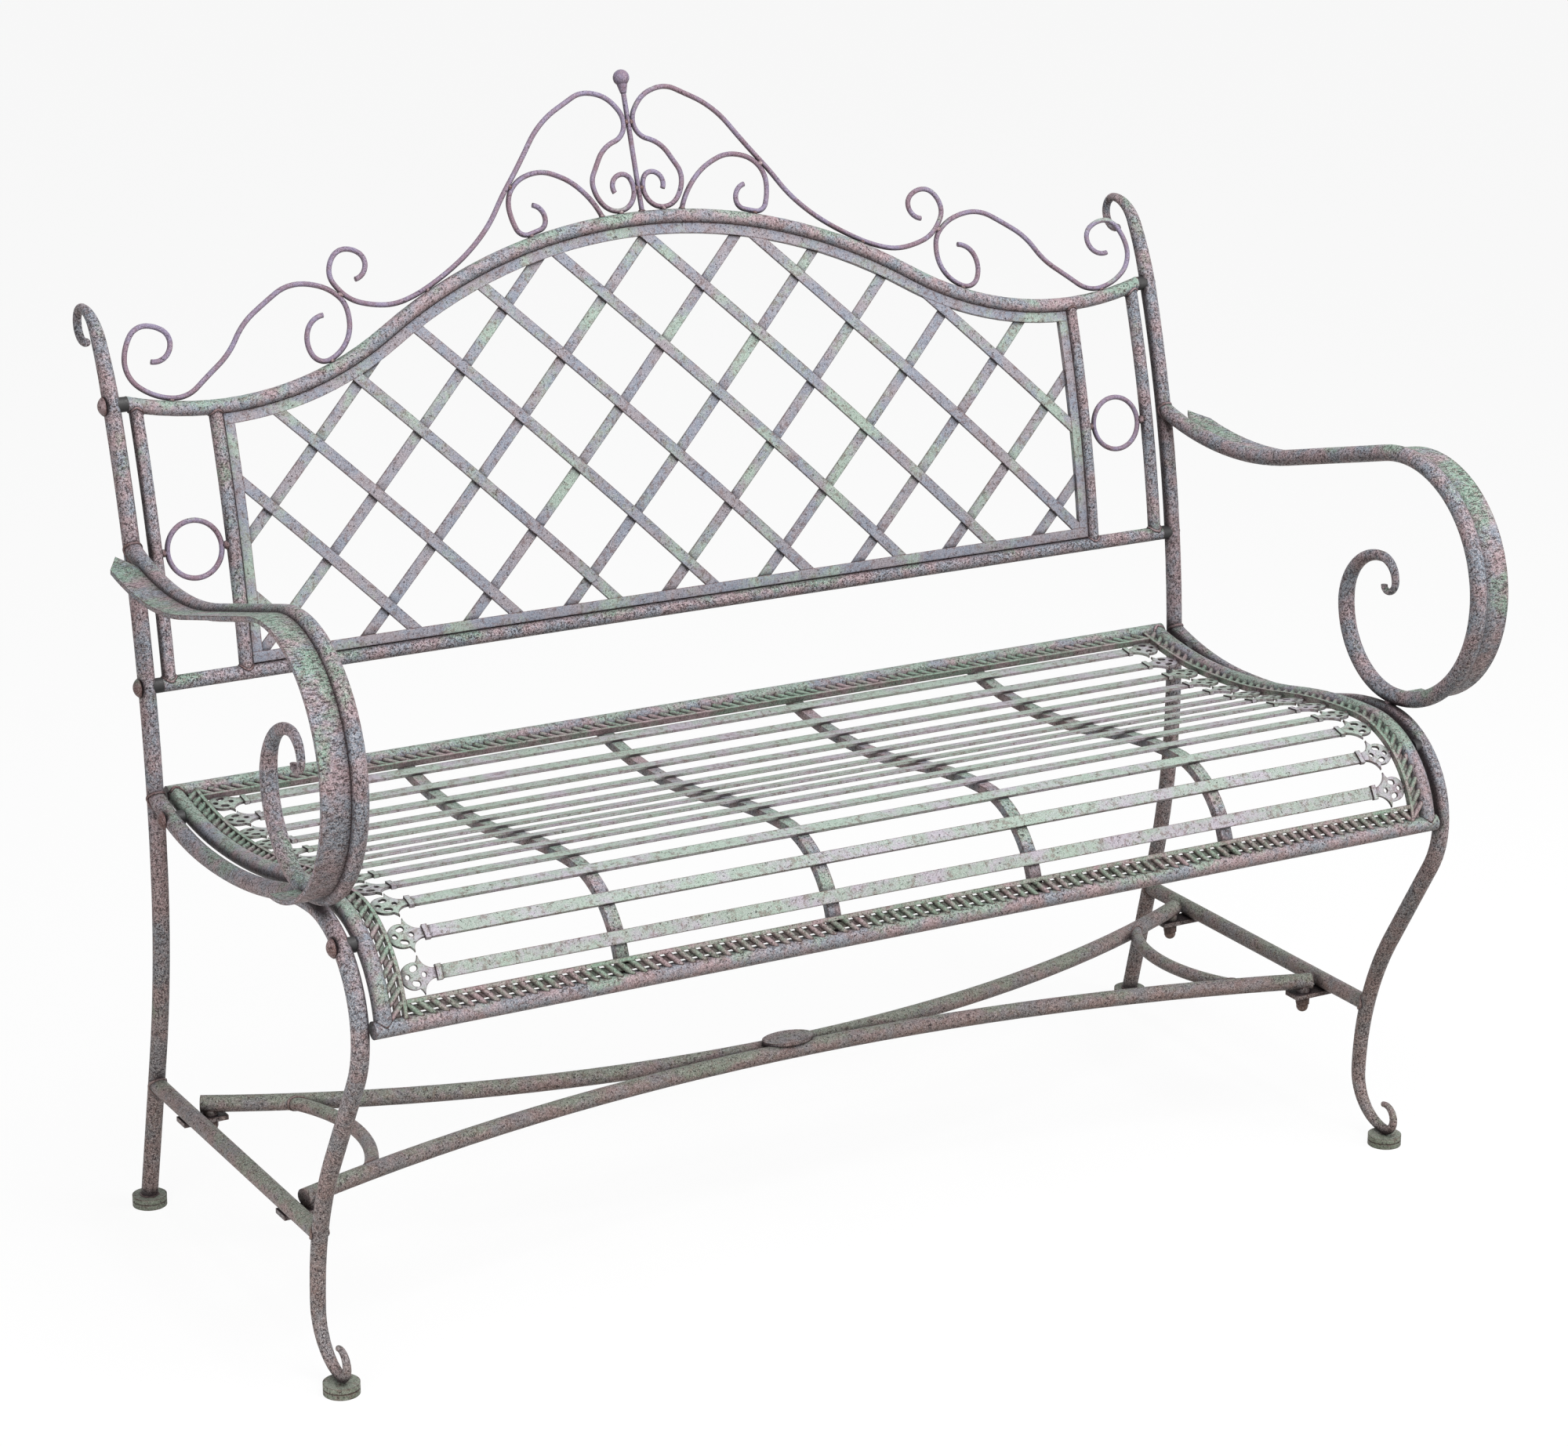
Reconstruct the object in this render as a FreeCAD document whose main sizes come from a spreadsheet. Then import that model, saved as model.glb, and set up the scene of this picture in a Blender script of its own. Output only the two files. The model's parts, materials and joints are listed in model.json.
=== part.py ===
import FreeCAD, Part
import math
import os

from functools import partial
from FreeCAD import Placement, Rotation, Vector

# A metal garden bench of bent tube, flat bar and forged scrolls, in millimetres.
# X runs along the seat, Y to the back, Z up. The origin is on the floor under the middle of the bench.

# Driving sizes: name, value, meaning

SIZES = (
    # End frames
    ("frame_spacing", 1128, "between the centre planes of the two end frames"),
    ("tube_dia", 16, "tube of the end frames, seat frame and stretcher"),
    ("front_foot_y", -225.9, "centre of the front feet"),
    ("rear_foot_y", 230.1, "centre of the rear feet"),
    ("foot_dia", 33, "foot discs"),
    ("foot_pad", 5, "pad under the foot"),
    ("foot_seam", 0.8, "groove between pad and cap"),
    ("foot_cap", 4.7, "cap that the leg stands on"),
    ("waist_y", 165.6, "foremost point of the rear post"),
    ("waist_z", 362, "height of that point"),
    ("post_lower_radius", 789, "bend of the post below the waist"),
    ("post_upper_radius", 1316, "bend of the post above the waist, also of the back panel"),
    ("neck_z", 786, "height where the post starts to bend over"),
    ("neck_radius", 282, "first bend of the post's top"),
    ("neck_turn", 13, "degrees"),
    ("crown_radius", 43, "second bend of the post's top"),
    ("hook_radius", 16, "curl at the end of the post"),
    ("hook_turn", 205, "degrees"),
    ("post_neck_dia", 13.6, "post after its first top bend"),
    ("post_crown_dia", 8.5, "post where it points straight back"),
    ("post_tip_dia", 7.5, "end of the post"),
    ("lower_rail_z", 136.3, "side rail near the floor"),
    # Seat rail and front leg
    ("seat_weld_z", 432.4, "where the seat rail meets the post"),
    ("dip_y", 45.7, "lowest point of the seat rail"),
    ("dip_z", 411.5, "height of that point"),
    ("crest_y", -198.7, "highest point of the seat rail, under the arm scroll"),
    ("crest_z", 444.2, "height of that point"),
    ("crest_radius", 263, "bend over that point"),
    ("roll_radius", 90, "front bend from the seat into the leg"),
    ("shin_radius", 300, "forward bend of the leg"),
    ("heel_radius", 47, "bend from the leg to the foot"),
    ("toe_radius", 13, "curl over the front foot"),
    ("toe_turn", 200, "degrees"),
    ("ankle_dia", 14, "leg where it turns to the foot"),
    ("sole_dia", 9.5, "leg where it stands on the foot"),
    ("toe_tip_dia", 5.6, "end of the curl"),
    # Arm
    ("arm_dip_y", 83.1, "lowest point of the arm rest"),
    ("arm_sag", 55.1, "that point below the top of the arm's front C"),
    ("arm_dip_radius", 400, "bend of the arm rest"),
    ("arm_scroll_radius", 119.7, "front C of the arm"),
    ("arm_splay", 5.5, "foot of the C outside the end frame's plane"),
    ("volute_radius_1", 80, "first quarter turn of the volute, outermost"),
    ("volute_radius_2", 53.5, "second quarter turn"),
    ("volute_radius_3", 21.5, "third quarter turn"),
    ("volute_radius_4", 11.3, "fourth quarter turn"),
    ("volute_radius_5", 5.6, "fifth quarter turn, innermost"),
    ("volute_dia_2", 10, "arm tube after the second quarter turn"),
    ("volute_dia_3", 7.3, "arm tube after the third"),
    ("arm_tip_dia", 6.5, "end of the arm tube"),
    ("strip_width", 26, "flat bar beside the arm tube"),
    ("strip_thick", 4, "flat bar beside the arm tube"),
    ("leaf_corner_y", 164.1, "where the point of the flat bar starts"),
    ("leaf_tip_y", 186.1, "point of the flat bar"),
    # Seat panel
    ("seat_gap", 4, "between the seat side rails and the end frames"),
    ("seat_crest_z", 443.8, "highest point of the seat side rails"),
    ("seat_roll_radius", 94, "front bend of the seat side rails"),
    ("seat_crest_radius", 580, "bend behind that point"),
    ("seat_dip_y", 63.3, "lowest point of the seat side rails"),
    ("seat_dip_z", 417, "height of that point"),
    ("weld_gap", 0.2, "side rails' ends off the round of the front and rear rail"),
    ("seat_front_angle", 173.3, "place of the front rail on the front bend, degrees"),
    ("seat_rear_y", 172.6, "rear rail of the seat"),
    ("seat_rear_z", 430.5, "rear rail of the seat"),
    ("front_rail_half", 554, "half length of the front rail"),
    ("rear_rail_half", 551, "half length of the rear rail"),
    ("slat_count", 13, "slats from front to rear"),
    ("slat_width", 12, "flat bar of the slats"),
    ("slat_thick", 2.5, "flat bar of the slats, their ends and the border's core"),
    ("first_slat", 38.4, "front rail to the first slat, along the seat"),
    ("last_slat", 33.5, "last slat to the rear rail, along the seat"),
    ("border_width", 13, "pierced rope border inside the seat tubes"),
    ("border_lip", 3.5, "plain inner edge of the border"),
    ("lip_height", 5.6, "inner edge of the border"),
    ("strand_dia", 5.2, "slanted strands of the border's rope"),
    ("strand_pitch", 11.7, "between the strands, along the border"),
    ("strand_slant", 45, "strands off the direction of the border, degrees"),
    ("strand_lift", 0.15, "strands off the bearers"),
    ("core_width", 5.6, "flat core that the strands cross"),
    ("palmette_length", 33, "pierced end of a slat, collar to tip"),
    ("palmette_half", 17.2, "from its middle to its horns"),
    ("palmette_horn", 13.5, "horns from the collar"),
    ("palmette_shoulder", 11.5, "from its middle to the shoulders behind the horns"),
    ("horn_width", 3, "horns to shoulders, along the slat"),
    ("palmette_neck", 9, "its width at the collar"),
    ("palmette_hole", 4.8, "width of its four holes"),
    ("palmette_web", 4.2, "metal between its tip and the next hole"),
    ("side_hole_length", 7.8, "its two long holes"),
    ("side_hole_y", 6.6, "from its middle to the long holes"),
    ("collar_length", 5, "collar between slat and palmette"),
    ("collar_width", 14, "across the collar"),
    ("collar_rise", 1.2, "collar above the slat"),
    ("bearer_width", 12, "bars under the slats"),
    ("bearer_depth", 8, "height of these bars"),
    ("inner_bearer_x", 105, "inner two bars from the middle"),
    ("outer_bearer_x", 316, "outer two bars from the middle"),
    # Back panel
    ("back_gap", 6.4, "between the back rails and the posts"),
    ("rail_dia", 14, "top and bottom rail of the back"),
    ("stile_dia", 13, "upright tubes of the back"),
    ("bottom_rail_z", 535, "bolts of the bottom rail"),
    ("top_rail_z", 786, "bolts of the top rail"),
    ("arch_low_x", 460.5, "lowest points of the arched rail"),
    ("arch_rise", 131.7, "from those points to its peak"),
    ("arch_crown_radius", 540, "middle bend of the arched rail"),
    ("outer_stile_x", 542, "outer upright tubes from the middle"),
    ("inner_stile_x", 466, "inner upright tubes from the middle"),
    ("lattice_strip", 10, "width of the strips round the lattice"),
    ("lattice_bar", 10.5, "width of the lattice bars"),
    ("lattice_layer", 2.5, "thickness of one layer of bars"),
    ("lattice_pitch", 106.2, "between bars, along X"),
    ("ring_dia", 58, "rings between the stiles, outside"),
    ("ring_drop", 138.5, "their middle below the top rail's bolts, along the panel"),
    # Crest
    ("rod_dia", 5, "scrolls and spike"),
    ("ball_dia", 16, "finial"),
    ("ball_height", 130, "middle of the ball above the arched rail"),
    ("ball_neck_length", 9, "cone under the ball"),
    ("ball_neck_low_dia", 6, "cone at its lower end"),
    ("ball_neck_top_dia", 10.6, "cone where it meets the ball"),
    # Stretcher
    ("stretcher_z", 139, "middle of the stretcher tubes"),
    ("stretcher_half", 548, "half length of the stretcher tubes"),
    ("stretcher_mid_y", -24.3, "front tube at the middle"),
    ("stretcher_front_y", -115.9, "front tube at its ends"),
    ("stretcher_rear_y", 127.1, "rear tube at its ends"),
    ("brace_dia", 13, "bowed brace between the stretcher tubes"),
    ("brace_end_x", 475, "ends of the brace from the middle"),
    ("brace_bow", 29, "bow of the brace towards the middle"),
    ("plate_length", 54, "oval plate on the middle, along X"),
    ("plate_width", 32, "oval plate, along Y"),
    ("plate_thick", 3, "oval plate"),
    ("boss_x", 540, "bolts of the stretcher"),
    ("boss_dia", 14, "boss under the stretcher tube"),
    ("lug_inner_x", 526, "inner end of the lugs under the lower rails"),
    ("lug_outer_x", 570, "outer end of these lugs"),
    ("lug_width", 20, "lugs, along Y"),
    ("lug_thick", 4.5, "lugs"),
    ("nut_across", 13, "cap nut, across the flats"),
    ("nut_height", 8, "its hexagon"),
    ("nut_dome_dia", 12, "its cap"),
    ("nut_dome_height", 9, "its cap"),
    # Bolts
    ("bolt_dia", 6, "shank"),
    ("bolt_play", 0.4, "hole wider than the bolt"),
    ("head_dia", 18, "domed head of the left bolts"),
    ("head_height", 5, "domed head"),
    ("bolt_grip", 12, "bolt inside a back rail"),
    ("spacer_dia", 14, "black rings between the panels and the end frames"),
    ("seat_bolt_angle", 128, "front seat bolts on the front bend, degrees"),
    ("seat_bolt_y", 130.1, "rear seat bolts"),
)

doc = FreeCAD.newDocument("garden_bench")
sheet = doc.addObject("Spreadsheet::Sheet", "Sizes")
for row, (name, value, meaning) in enumerate(SIZES, start=1):
    sheet.set(f"A{row}", name)
    sheet.set(f"B{row}", str(value))
    sheet.set(f"C{row}", meaning)
    sheet.setAlias(f"B{row}", name)
doc.recompute()


def size(name):
    return float(sheet.get(name))


# Paths: chains of straight runs and tangent arcs in the XY plane


def unit(degrees):
    angle = math.radians(degrees)
    return Vector(math.cos(angle), math.sin(angle), 0)


def direction(vector):
    return math.degrees(math.atan2(vector.y, vector.x))


def signed(degrees):
    return (degrees + 180) % 360 - 180


class Path:
    """A path walked from a start point; headings and turns are degrees, left turns positive."""

    def __init__(self, start, heading):
        self.point = start
        self.heading = heading
        self.moves = []

    def line(self, length):
        self.moves.append((self.point, self.heading, None, length))
        self.point = self.point + unit(self.heading) * length
        return self

    def arc(self, radius, turn):
        self.moves.append((self.point, self.heading, radius, turn))
        self.point = self._on(self.moves[-1], 1)
        self.heading += turn
        return self

    def arc_to(self, point):
        """The one arc that leaves along the heading and ends at the point."""
        chord = point - self.point
        half_turn = signed(direction(chord) - self.heading)
        if abs(half_turn) < 0.01:
            return self.line(chord.Length)
        radius = chord.Length / 2 / abs(math.sin(math.radians(half_turn)))
        return self.arc(radius, 2 * half_turn)

    def blend_to(self, point, heading):
        """Two arcs of equal tangent length that end at the point along the heading."""
        chord = point - self.point
        first = unit(self.heading)
        last = unit(heading)
        spread = 2 * (1 - first.dot(last))
        along = chord.dot(first + last)
        if spread < 1e-6:
            reach = chord.dot(chord) / (4 * chord.dot(last))
        else:
            reach = (math.sqrt(along ** 2 + spread * chord.dot(chord)) - along) / spread
        self.arc_to((self.point + first * reach + point - last * reach) / 2)
        return self.arc_to(point)

    @staticmethod
    def _on(move, share):
        start, heading, radius, amount = move
        if radius is None:
            return start + unit(heading) * amount * share
        side = 90 if amount > 0 else -90
        centre = start + unit(heading + side) * radius
        return centre - unit(heading + side + amount * share) * radius

    @staticmethod
    def _length(move):
        radius, amount = move[2], move[3]
        return amount if radius is None else radius * math.radians(abs(amount))

    @property
    def length(self):
        return sum(self._length(move) for move in self.moves)

    def at(self, distance):
        """Point and heading at a distance along the path."""
        for move in self.moves:
            reach = self._length(move)
            if distance <= reach or move is self.moves[-1]:
                share = distance / reach
                turn = 0 if move[2] is None else move[3] * share
                return self._on(move, share), move[1] + turn
            distance -= reach

    def part(self, begin, end):
        """The stretch between two distances."""
        piece = Path(*self.at(begin))
        passed = 0
        for move in self.moves:
            reach = self._length(move)
            share = (min(end, passed + reach) - max(begin, passed)) / reach
            passed += reach
            if share <= 1e-6:
                continue
            if move[2] is None:
                piece.line(move[3] * share)
            else:
                piece.arc(move[2], move[3] * share)
        return piece

    def beside(self, offset):
        """The parallel path at an offset, left of this one where positive."""
        start, heading = self.moves[0][:2]
        path = Path(start + unit(heading + 90) * offset, heading)
        for _, _, radius, amount in self.moves:
            if radius is None:
                path.line(amount)
            else:
                path.arc(radius - offset if amount > 0 else radius + offset, amount)
        return path

    def edges(self):
        made = []
        for move in self.moves:
            if move[2] is None:
                made.append(Part.makeLine(move[0], self._on(move, 1)))
            else:
                made.append(Part.Arc(move[0], self._on(move, 0.5), self._on(move, 1)).toShape())
        return made


def smooth_path(nodes):
    """A path through (point, heading) nodes; a heading of None follows the circle through the neighbours."""
    points = [point for point, _ in nodes]
    headings = [heading for _, heading in nodes]
    for i in range(1, len(points) - 1):
        before = points[i] - points[i - 1]
        after = points[i + 1] - points[i]
        if headings[i] is None:
            headings[i] = direction(before / before.Length * after.Length + after / after.Length * before.Length)
    if headings[0] is None:
        headings[0] = 2 * direction(points[1] - points[0]) - headings[1]
    if headings[-1] is None:
        headings[-1] = 2 * direction(points[-1] - points[-2]) - headings[-2]
    path = Path(points[0], headings[0])
    for point, heading in zip(points[1:], headings[1:]):
        path.blend_to(point, heading)
    return path


def crossing_tangent(centre_1, radius_1, centre_2, radius_2, side):
    """Angle, seen from the first centre, where a straight run leaves to cross over to the second circle."""
    between = centre_2 - centre_1
    swing = math.degrees(math.acos((radius_1 + radius_2) / between.Length))
    return direction(between) + side * swing


# Making objects of the document

nodes = []


def node(thing, label, placement=Placement()):
    """Name a finished sub-part and put it in its place."""
    thing.Label = label
    thing.Placement = placement
    nodes.append(thing)
    return thing


def named(label):
    """The finished sub-part of that name."""
    return doc.getObjectsByLabel(label)[0]


def feature(name, shape):
    thing = doc.addObject("Part::Feature", name)
    thing.Shape = shape
    return thing


def tube(name, path, diameter):
    """Round bar along a path, its diameter bound to the sheet."""
    spine = feature(name + "_path", Part.Wire(path.edges()))
    section = doc.addObject("Part::Circle", name + "_section")
    section.setExpression("Radius", f"Sizes.{diameter} / 2")
    start, heading = path.at(0)
    section.Placement = Placement(start, Rotation(Vector(0, 0, 1), unit(heading)))
    sweep = doc.addObject("Part::Sweep", name + "_tube")
    sweep.Sections = [section]
    sweep.Spine = (spine, [f"Edge{i + 1}" for i in range(len(path.moves))])
    sweep.Solid = True
    sweep.Frenet = False
    return sweep


def tapered_tube(path, diameters):
    """Solid round bar whose diameter changes evenly along each move of the path."""
    pieces = []
    for i, (move, edge) in enumerate(zip(path.moves, path.edges())):
        shell = Part.BRepOffsetAPI.MakePipeShell(Part.Wire(edge))
        end_heading = move[1] + (0 if move[2] is None else move[3])
        ends = ((move[0], move[1], diameters[i]), (Path._on(move, 1), end_heading, diameters[i + 1]))
        for point, heading, diameter in ends:
            shell.add(Part.Wire(Part.makeCircle(diameter / 2, point, unit(heading))))
        shell.build()
        shell.makeSolid()
        pieces.append(shell.shape())
    return pieces[0].multiFuse(pieces[1:]).removeSplitter()


def cut(name, base, *tools):
    """Base less each tool in turn, as boolean objects of the document."""
    for tool in tools:
        result = doc.addObject("Part::Cut", name)
        result.Base = base
        result.Tool = tool
        base = result
    return base


def cylinder(name, diameter, length, placement):
    """Straight round bar with its sizes bound to the sheet by expressions."""
    bar = doc.addObject("Part::Cylinder", name)
    bar.setExpression("Radius", f"({diameter}) / 2")
    bar.setExpression("Height", length)
    bar.Placement = placement
    return bar


def band(path, low, high):
    """Flat face between two parallels of a path."""
    lower = path.beside(low)
    upper = path.beside(high)
    start_edge = Part.makeLine(lower.at(0)[0], upper.at(0)[0])
    end_edge = Part.makeLine(lower.point, upper.point)
    edges = lower.edges() + [end_edge] + upper.edges() + [start_edge]
    return Part.Face(Part.Wire(Part.sortEdges(edges)[0]))


def polygon(points):
    corners = [Vector(*point) for point in points]
    return Part.Face(Part.makePolygon(corners + corners[:1]))


def slab(face, low, high):
    """Solid over a face of the XY plane between two heights."""
    solid = face.extrude(Vector(0, 0, high - low))
    solid.translate(Vector(0, 0, low))
    return solid


# Shared places

frame_x = size("frame_spacing") / 2
tube_r = size("tube_dia") / 2
foot_top = size("foot_pad") + size("foot_seam") + size("foot_cap")
hole_dia = size("bolt_dia") + size("bolt_play")
SIDES = (("L", -1), ("R", 1))

# The side view is drawn with Y as x and Z as y, so the third axis is X.
SIDE_VIEW = Rotation(Vector(1, 1, 1), 120)


def at_side(x):
    return Placement(Vector(x, 0, 0), SIDE_VIEW)


def post_y(z):
    """Middle of the rear post between the waist and the neck."""
    radius = size("post_upper_radius")
    return size("waist_y") + radius - math.sqrt(radius ** 2 - (z - size("waist_z")) ** 2)


def bolt_hole(name, y, z):
    """Hole along X in the side view, through whatever is near the end frame's plane."""
    depth = 2 * size("tube_dia")
    place = Placement(Vector(y, z, -depth / 2), Rotation())
    return cylinder(name, "Sizes.bolt_dia + Sizes.bolt_play", "2 * Sizes.tube_dia", place)


# Rear post

lower_centre = Vector(size("waist_y") + size("post_lower_radius"), size("waist_z"), 0)
foot_point = Vector(size("rear_foot_y"), foot_top, 0)
from_centre = foot_point - lower_centre
tangent_swing = math.degrees(math.acos(size("post_lower_radius") / from_centre.Length))
lower_angle = direction(from_centre) % 360 - tangent_swing
upper_turn = math.degrees(math.asin((size("neck_z") - size("waist_z")) / size("post_upper_radius")))
straight = math.sqrt(from_centre.Length ** 2 - size("post_lower_radius") ** 2)
below_cap = size("tube_dia")
foot_heading = lower_angle - 90
crown_turn = upper_turn + size("neck_turn")

post_path = Path(foot_point - unit(foot_heading) * below_cap, foot_heading)
post_path.line(straight + below_cap)
post_path.arc(size("post_lower_radius"), 180 - lower_angle)
post_path.arc(size("post_upper_radius"), -upper_turn)
post_path.arc(size("neck_radius"), -size("neck_turn"))
post_path.arc(size("crown_radius"), crown_turn - 90)
post_path.arc(size("hook_radius"), -size("hook_turn"))

full = size("tube_dia")
post_tube = tapered_tube(
    post_path,
    [full] * 4 + [size("post_neck_dia"), size("post_crown_dia"), size("post_tip_dia")],
)
under_foot = Part.makeBox(4 * full, 4 * full, 4 * full)
under_foot.translate(Vector(size("rear_foot_y") - 2 * full, foot_top - 4 * full, -2 * full))
post = feature("post", post_tube.cut(under_foot))
back_bolts = [(post_y(size(name)), size(name)) for name in ("bottom_rail_z", "top_rail_z")]
back_holes = [bolt_hole("back_hole", y, z) for y, z in back_bolts]

for side, sign in SIDES:
    node(cut("post_drilled", post, *back_holes), f"rear_post_{side}", at_side(sign * frame_x))

# Seat rail and front leg

dip = Vector(size("dip_y"), size("dip_z"), 0)
crest = Vector(size("crest_y"), size("crest_z"), 0)
weld = Vector(post_y(size("seat_weld_z")), size("seat_weld_z"), 0)


def bottom_arc_radius(low, end):
    """Radius of the arc that is level at its low point and passes through its end."""
    run = end.x - low.x
    rise = end.y - low.y
    return (run ** 2 + rise ** 2) / (2 * rise)


def level_bends(high, low, high_radius):
    """Radius of the lower of two bends that join two level points, and the turn of each in degrees."""
    radius_sum = bottom_arc_radius(low, high)
    turn = math.degrees(math.asin(abs(low.x - high.x) / radius_sum))
    return radius_sum - high_radius, turn


rear_radius = bottom_arc_radius(dip, weld)
rear_turn = math.degrees(math.asin((weld.x - dip.x) / rear_radius))
dip_radius, crest_turn = level_bends(crest, dip, size("crest_radius"))

sole = Vector(size("front_foot_y"), foot_top + size("sole_dia") / 2, 0)
roll_centre = crest - Vector(0, size("roll_radius"), 0)
shin_centre = sole + Vector(size("heel_radius") - size("shin_radius"), size("heel_radius"), 0)
roll_end = crossing_tangent(roll_centre, size("roll_radius"), shin_centre, size("shin_radius"), -1) % 360
leg_run = math.sqrt(
    (shin_centre - roll_centre).Length ** 2 - (size("roll_radius") + size("shin_radius")) ** 2
)

leg_path = Path(weld, 180 + rear_turn)
leg_path.arc(rear_radius, -rear_turn)
leg_path.arc(dip_radius, -crest_turn)
leg_path.arc(size("crest_radius"), crest_turn)
leg_path.arc(size("roll_radius"), roll_end - 90)
leg_path.line(leg_run)
leg_path.arc(size("shin_radius"), 180 - roll_end)
leg_path.arc(size("heel_radius"), -90)
leg_path.arc(size("toe_radius"), -size("toe_turn"))
leg_tube = tapered_tube(
    leg_path,
    [full] * 6 + [size("ankle_dia"), size("sole_dia"), size("toe_tip_dia")],
)
leg = feature("leg", leg_tube)

front_bolt = roll_centre + unit(size("seat_bolt_angle")) * size("roll_radius")
rear_bolt_run = size("seat_bolt_y") - dip.x
rear_bolt = Vector(size("seat_bolt_y"), dip.y + rear_radius - math.sqrt(rear_radius ** 2 - rear_bolt_run ** 2), 0)
seat_holes = [bolt_hole("seat_hole", point.x, point.y) for point in (front_bolt, rear_bolt)]

for side, sign in SIDES:
    node(cut("leg_cut", leg, post, *seat_holes), f"front_leg_{side}", at_side(sign * frame_x))

# Arm: a dip, a straight run, the front C that stands on the seat rail, and the volute

scroll_stand = math.sqrt(size("tube_dia") ** 2 - size("arm_splay") ** 2)
scroll_centre = crest + Vector(0, scroll_stand + size("arm_scroll_radius"), 0)
arm_dip_z = scroll_centre.y + size("arm_scroll_radius") - size("arm_sag")
arm_dip_centre = Vector(size("arm_dip_y"), arm_dip_z + size("arm_dip_radius"), 0)
arm_z = arm_dip_z
for _ in range(3):
    arm_run = post_y(arm_z) - size("arm_dip_y")
    arm_z = arm_dip_centre.y - math.sqrt(size("arm_dip_radius") ** 2 - arm_run ** 2)
arm_start_turn = math.degrees(math.asin(arm_run / size("arm_dip_radius")))
leave = crossing_tangent(
    arm_dip_centre, size("arm_dip_radius"), scroll_centre, size("arm_scroll_radius"), 1
)
arm_straight = math.sqrt(
    (scroll_centre - arm_dip_centre).Length ** 2 - (size("arm_dip_radius") + size("arm_scroll_radius")) ** 2
)
arm_path = Path(Vector(post_y(arm_z), arm_z, 0), 180 + arm_start_turn)
arm_path.arc(size("arm_dip_radius"), leave + 90 - arm_start_turn)
arm_path.line(arm_straight)
arm_path.arc(size("arm_scroll_radius"), 90 - leave)
strip_length = arm_path.length
for quarter in range(1, 6):
    arm_path.arc(size(f"volute_radius_{quarter}"), 90)
arm = tapered_tube(
    arm_path,
    [full] * 5 + [size("volute_dia_2"), size("volute_dia_3"), size("arm_tip_dia"), size("arm_tip_dia")],
)

strip_band = band(arm_path.part(0, strip_length), -size("strip_thick") / 2, size("strip_thick") / 2)
strip_outer = tube_r + size("strip_width")
strip_middle = tube_r + size("strip_width") / 2
leaf_front = scroll_centre.x - 2 * size("arm_scroll_radius")
leaf_outline = polygon((
    (leaf_front, tube_r, 0),
    (size("leaf_corner_y"), tube_r, 0),
    (size("leaf_tip_y"), strip_middle, 0),
    (size("leaf_corner_y"), strip_outer, 0),
    (leaf_front, strip_outer, 0),
))
leaf_outline.rotate(Vector(), Vector(1, 0, 0), 90)
leaf = leaf_outline.extrude(Vector(0, 2 * arm_dip_z, 0))
strip = slab(strip_band, tube_r, strip_outer).common(leaf)

arm_swing = math.degrees(math.asin(size("arm_splay") / (arm_path.at(0)[0].x - crest.x)))
for side, sign in SIDES:
    swing = Placement(Vector(), Rotation(Vector(0, 1, 0), sign * arm_swing), arm_path.at(0)[0])
    arm_place = at_side(sign * frame_x) * swing
    swung = feature("arm_swung", arm)
    swung.Placement = arm_place
    node(cut("arm_cut", swung, named(f"rear_post_{side}")), f"arm_scroll_{side}")
    outward = strip if sign > 0 else strip.mirror(Vector(), Vector(0, 0, 1))
    node(feature("strip", outward), f"arm_strip_{side}", arm_place)

# Lower side rails and feet

def y_at_height(path, z, begin, end):
    """Where a stretch of a path that only climbs or only drops crosses a height."""
    climbs = path.at(end)[0].y > path.at(begin)[0].y
    for _ in range(40):
        middle = (begin + end) / 2
        if (path.at(middle)[0].y < z) == climbs:
            begin = middle
        else:
            end = middle
    return path.at(middle)[0].x


toe_length = math.radians(size("toe_turn")) * size("toe_radius")
leg_y = y_at_height(leg_path, size("lower_rail_z"), leg_path.length / 2, leg_path.length - toe_length)
waist_length = straight + below_cap + math.radians(lower_angle - 180) * size("post_lower_radius")
stand_y = y_at_height(post_path, size("lower_rail_z"), 0, waist_length)
for side, sign in SIDES:
    rail_start = Vector(sign * frame_x, leg_y, size("lower_rail_z"))
    rail = feature("lower_bar", Part.makeCylinder(tube_r, stand_y - leg_y, rail_start, Vector(0, 1, 0)))
    node(cut("lower_cut", rail, named(f"front_leg_{side}"), named(f"rear_post_{side}")), f"lower_rail_{side}")


def foot(label, x, y):
    """Pad and cap with a groove between them."""
    layers = (
        ("Sizes.foot_dia", "Sizes.foot_pad", 0),
        ("Sizes.foot_dia - 2 * Sizes.foot_seam", "Sizes.foot_seam", size("foot_pad")),
        ("Sizes.foot_dia", "Sizes.foot_cap", size("foot_pad") + size("foot_seam")),
    )
    disc = doc.addObject("Part::MultiFuse", "foot")
    disc.Shapes = [
        cylinder("foot_layer", diameter, height, Placement(Vector(0, 0, z), Rotation()))
        for diameter, height, z in layers
    ]
    node(disc, label, Placement(Vector(x, y, 0), Rotation()))


for side, sign in SIDES:
    foot(f"front_foot_{side}", sign * frame_x, size("front_foot_y"))
    foot(f"rear_foot_{side}", sign * frame_x, size("rear_foot_y"))

# Seat frame, drawn in the side view from the front rail to the rear rail

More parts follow.
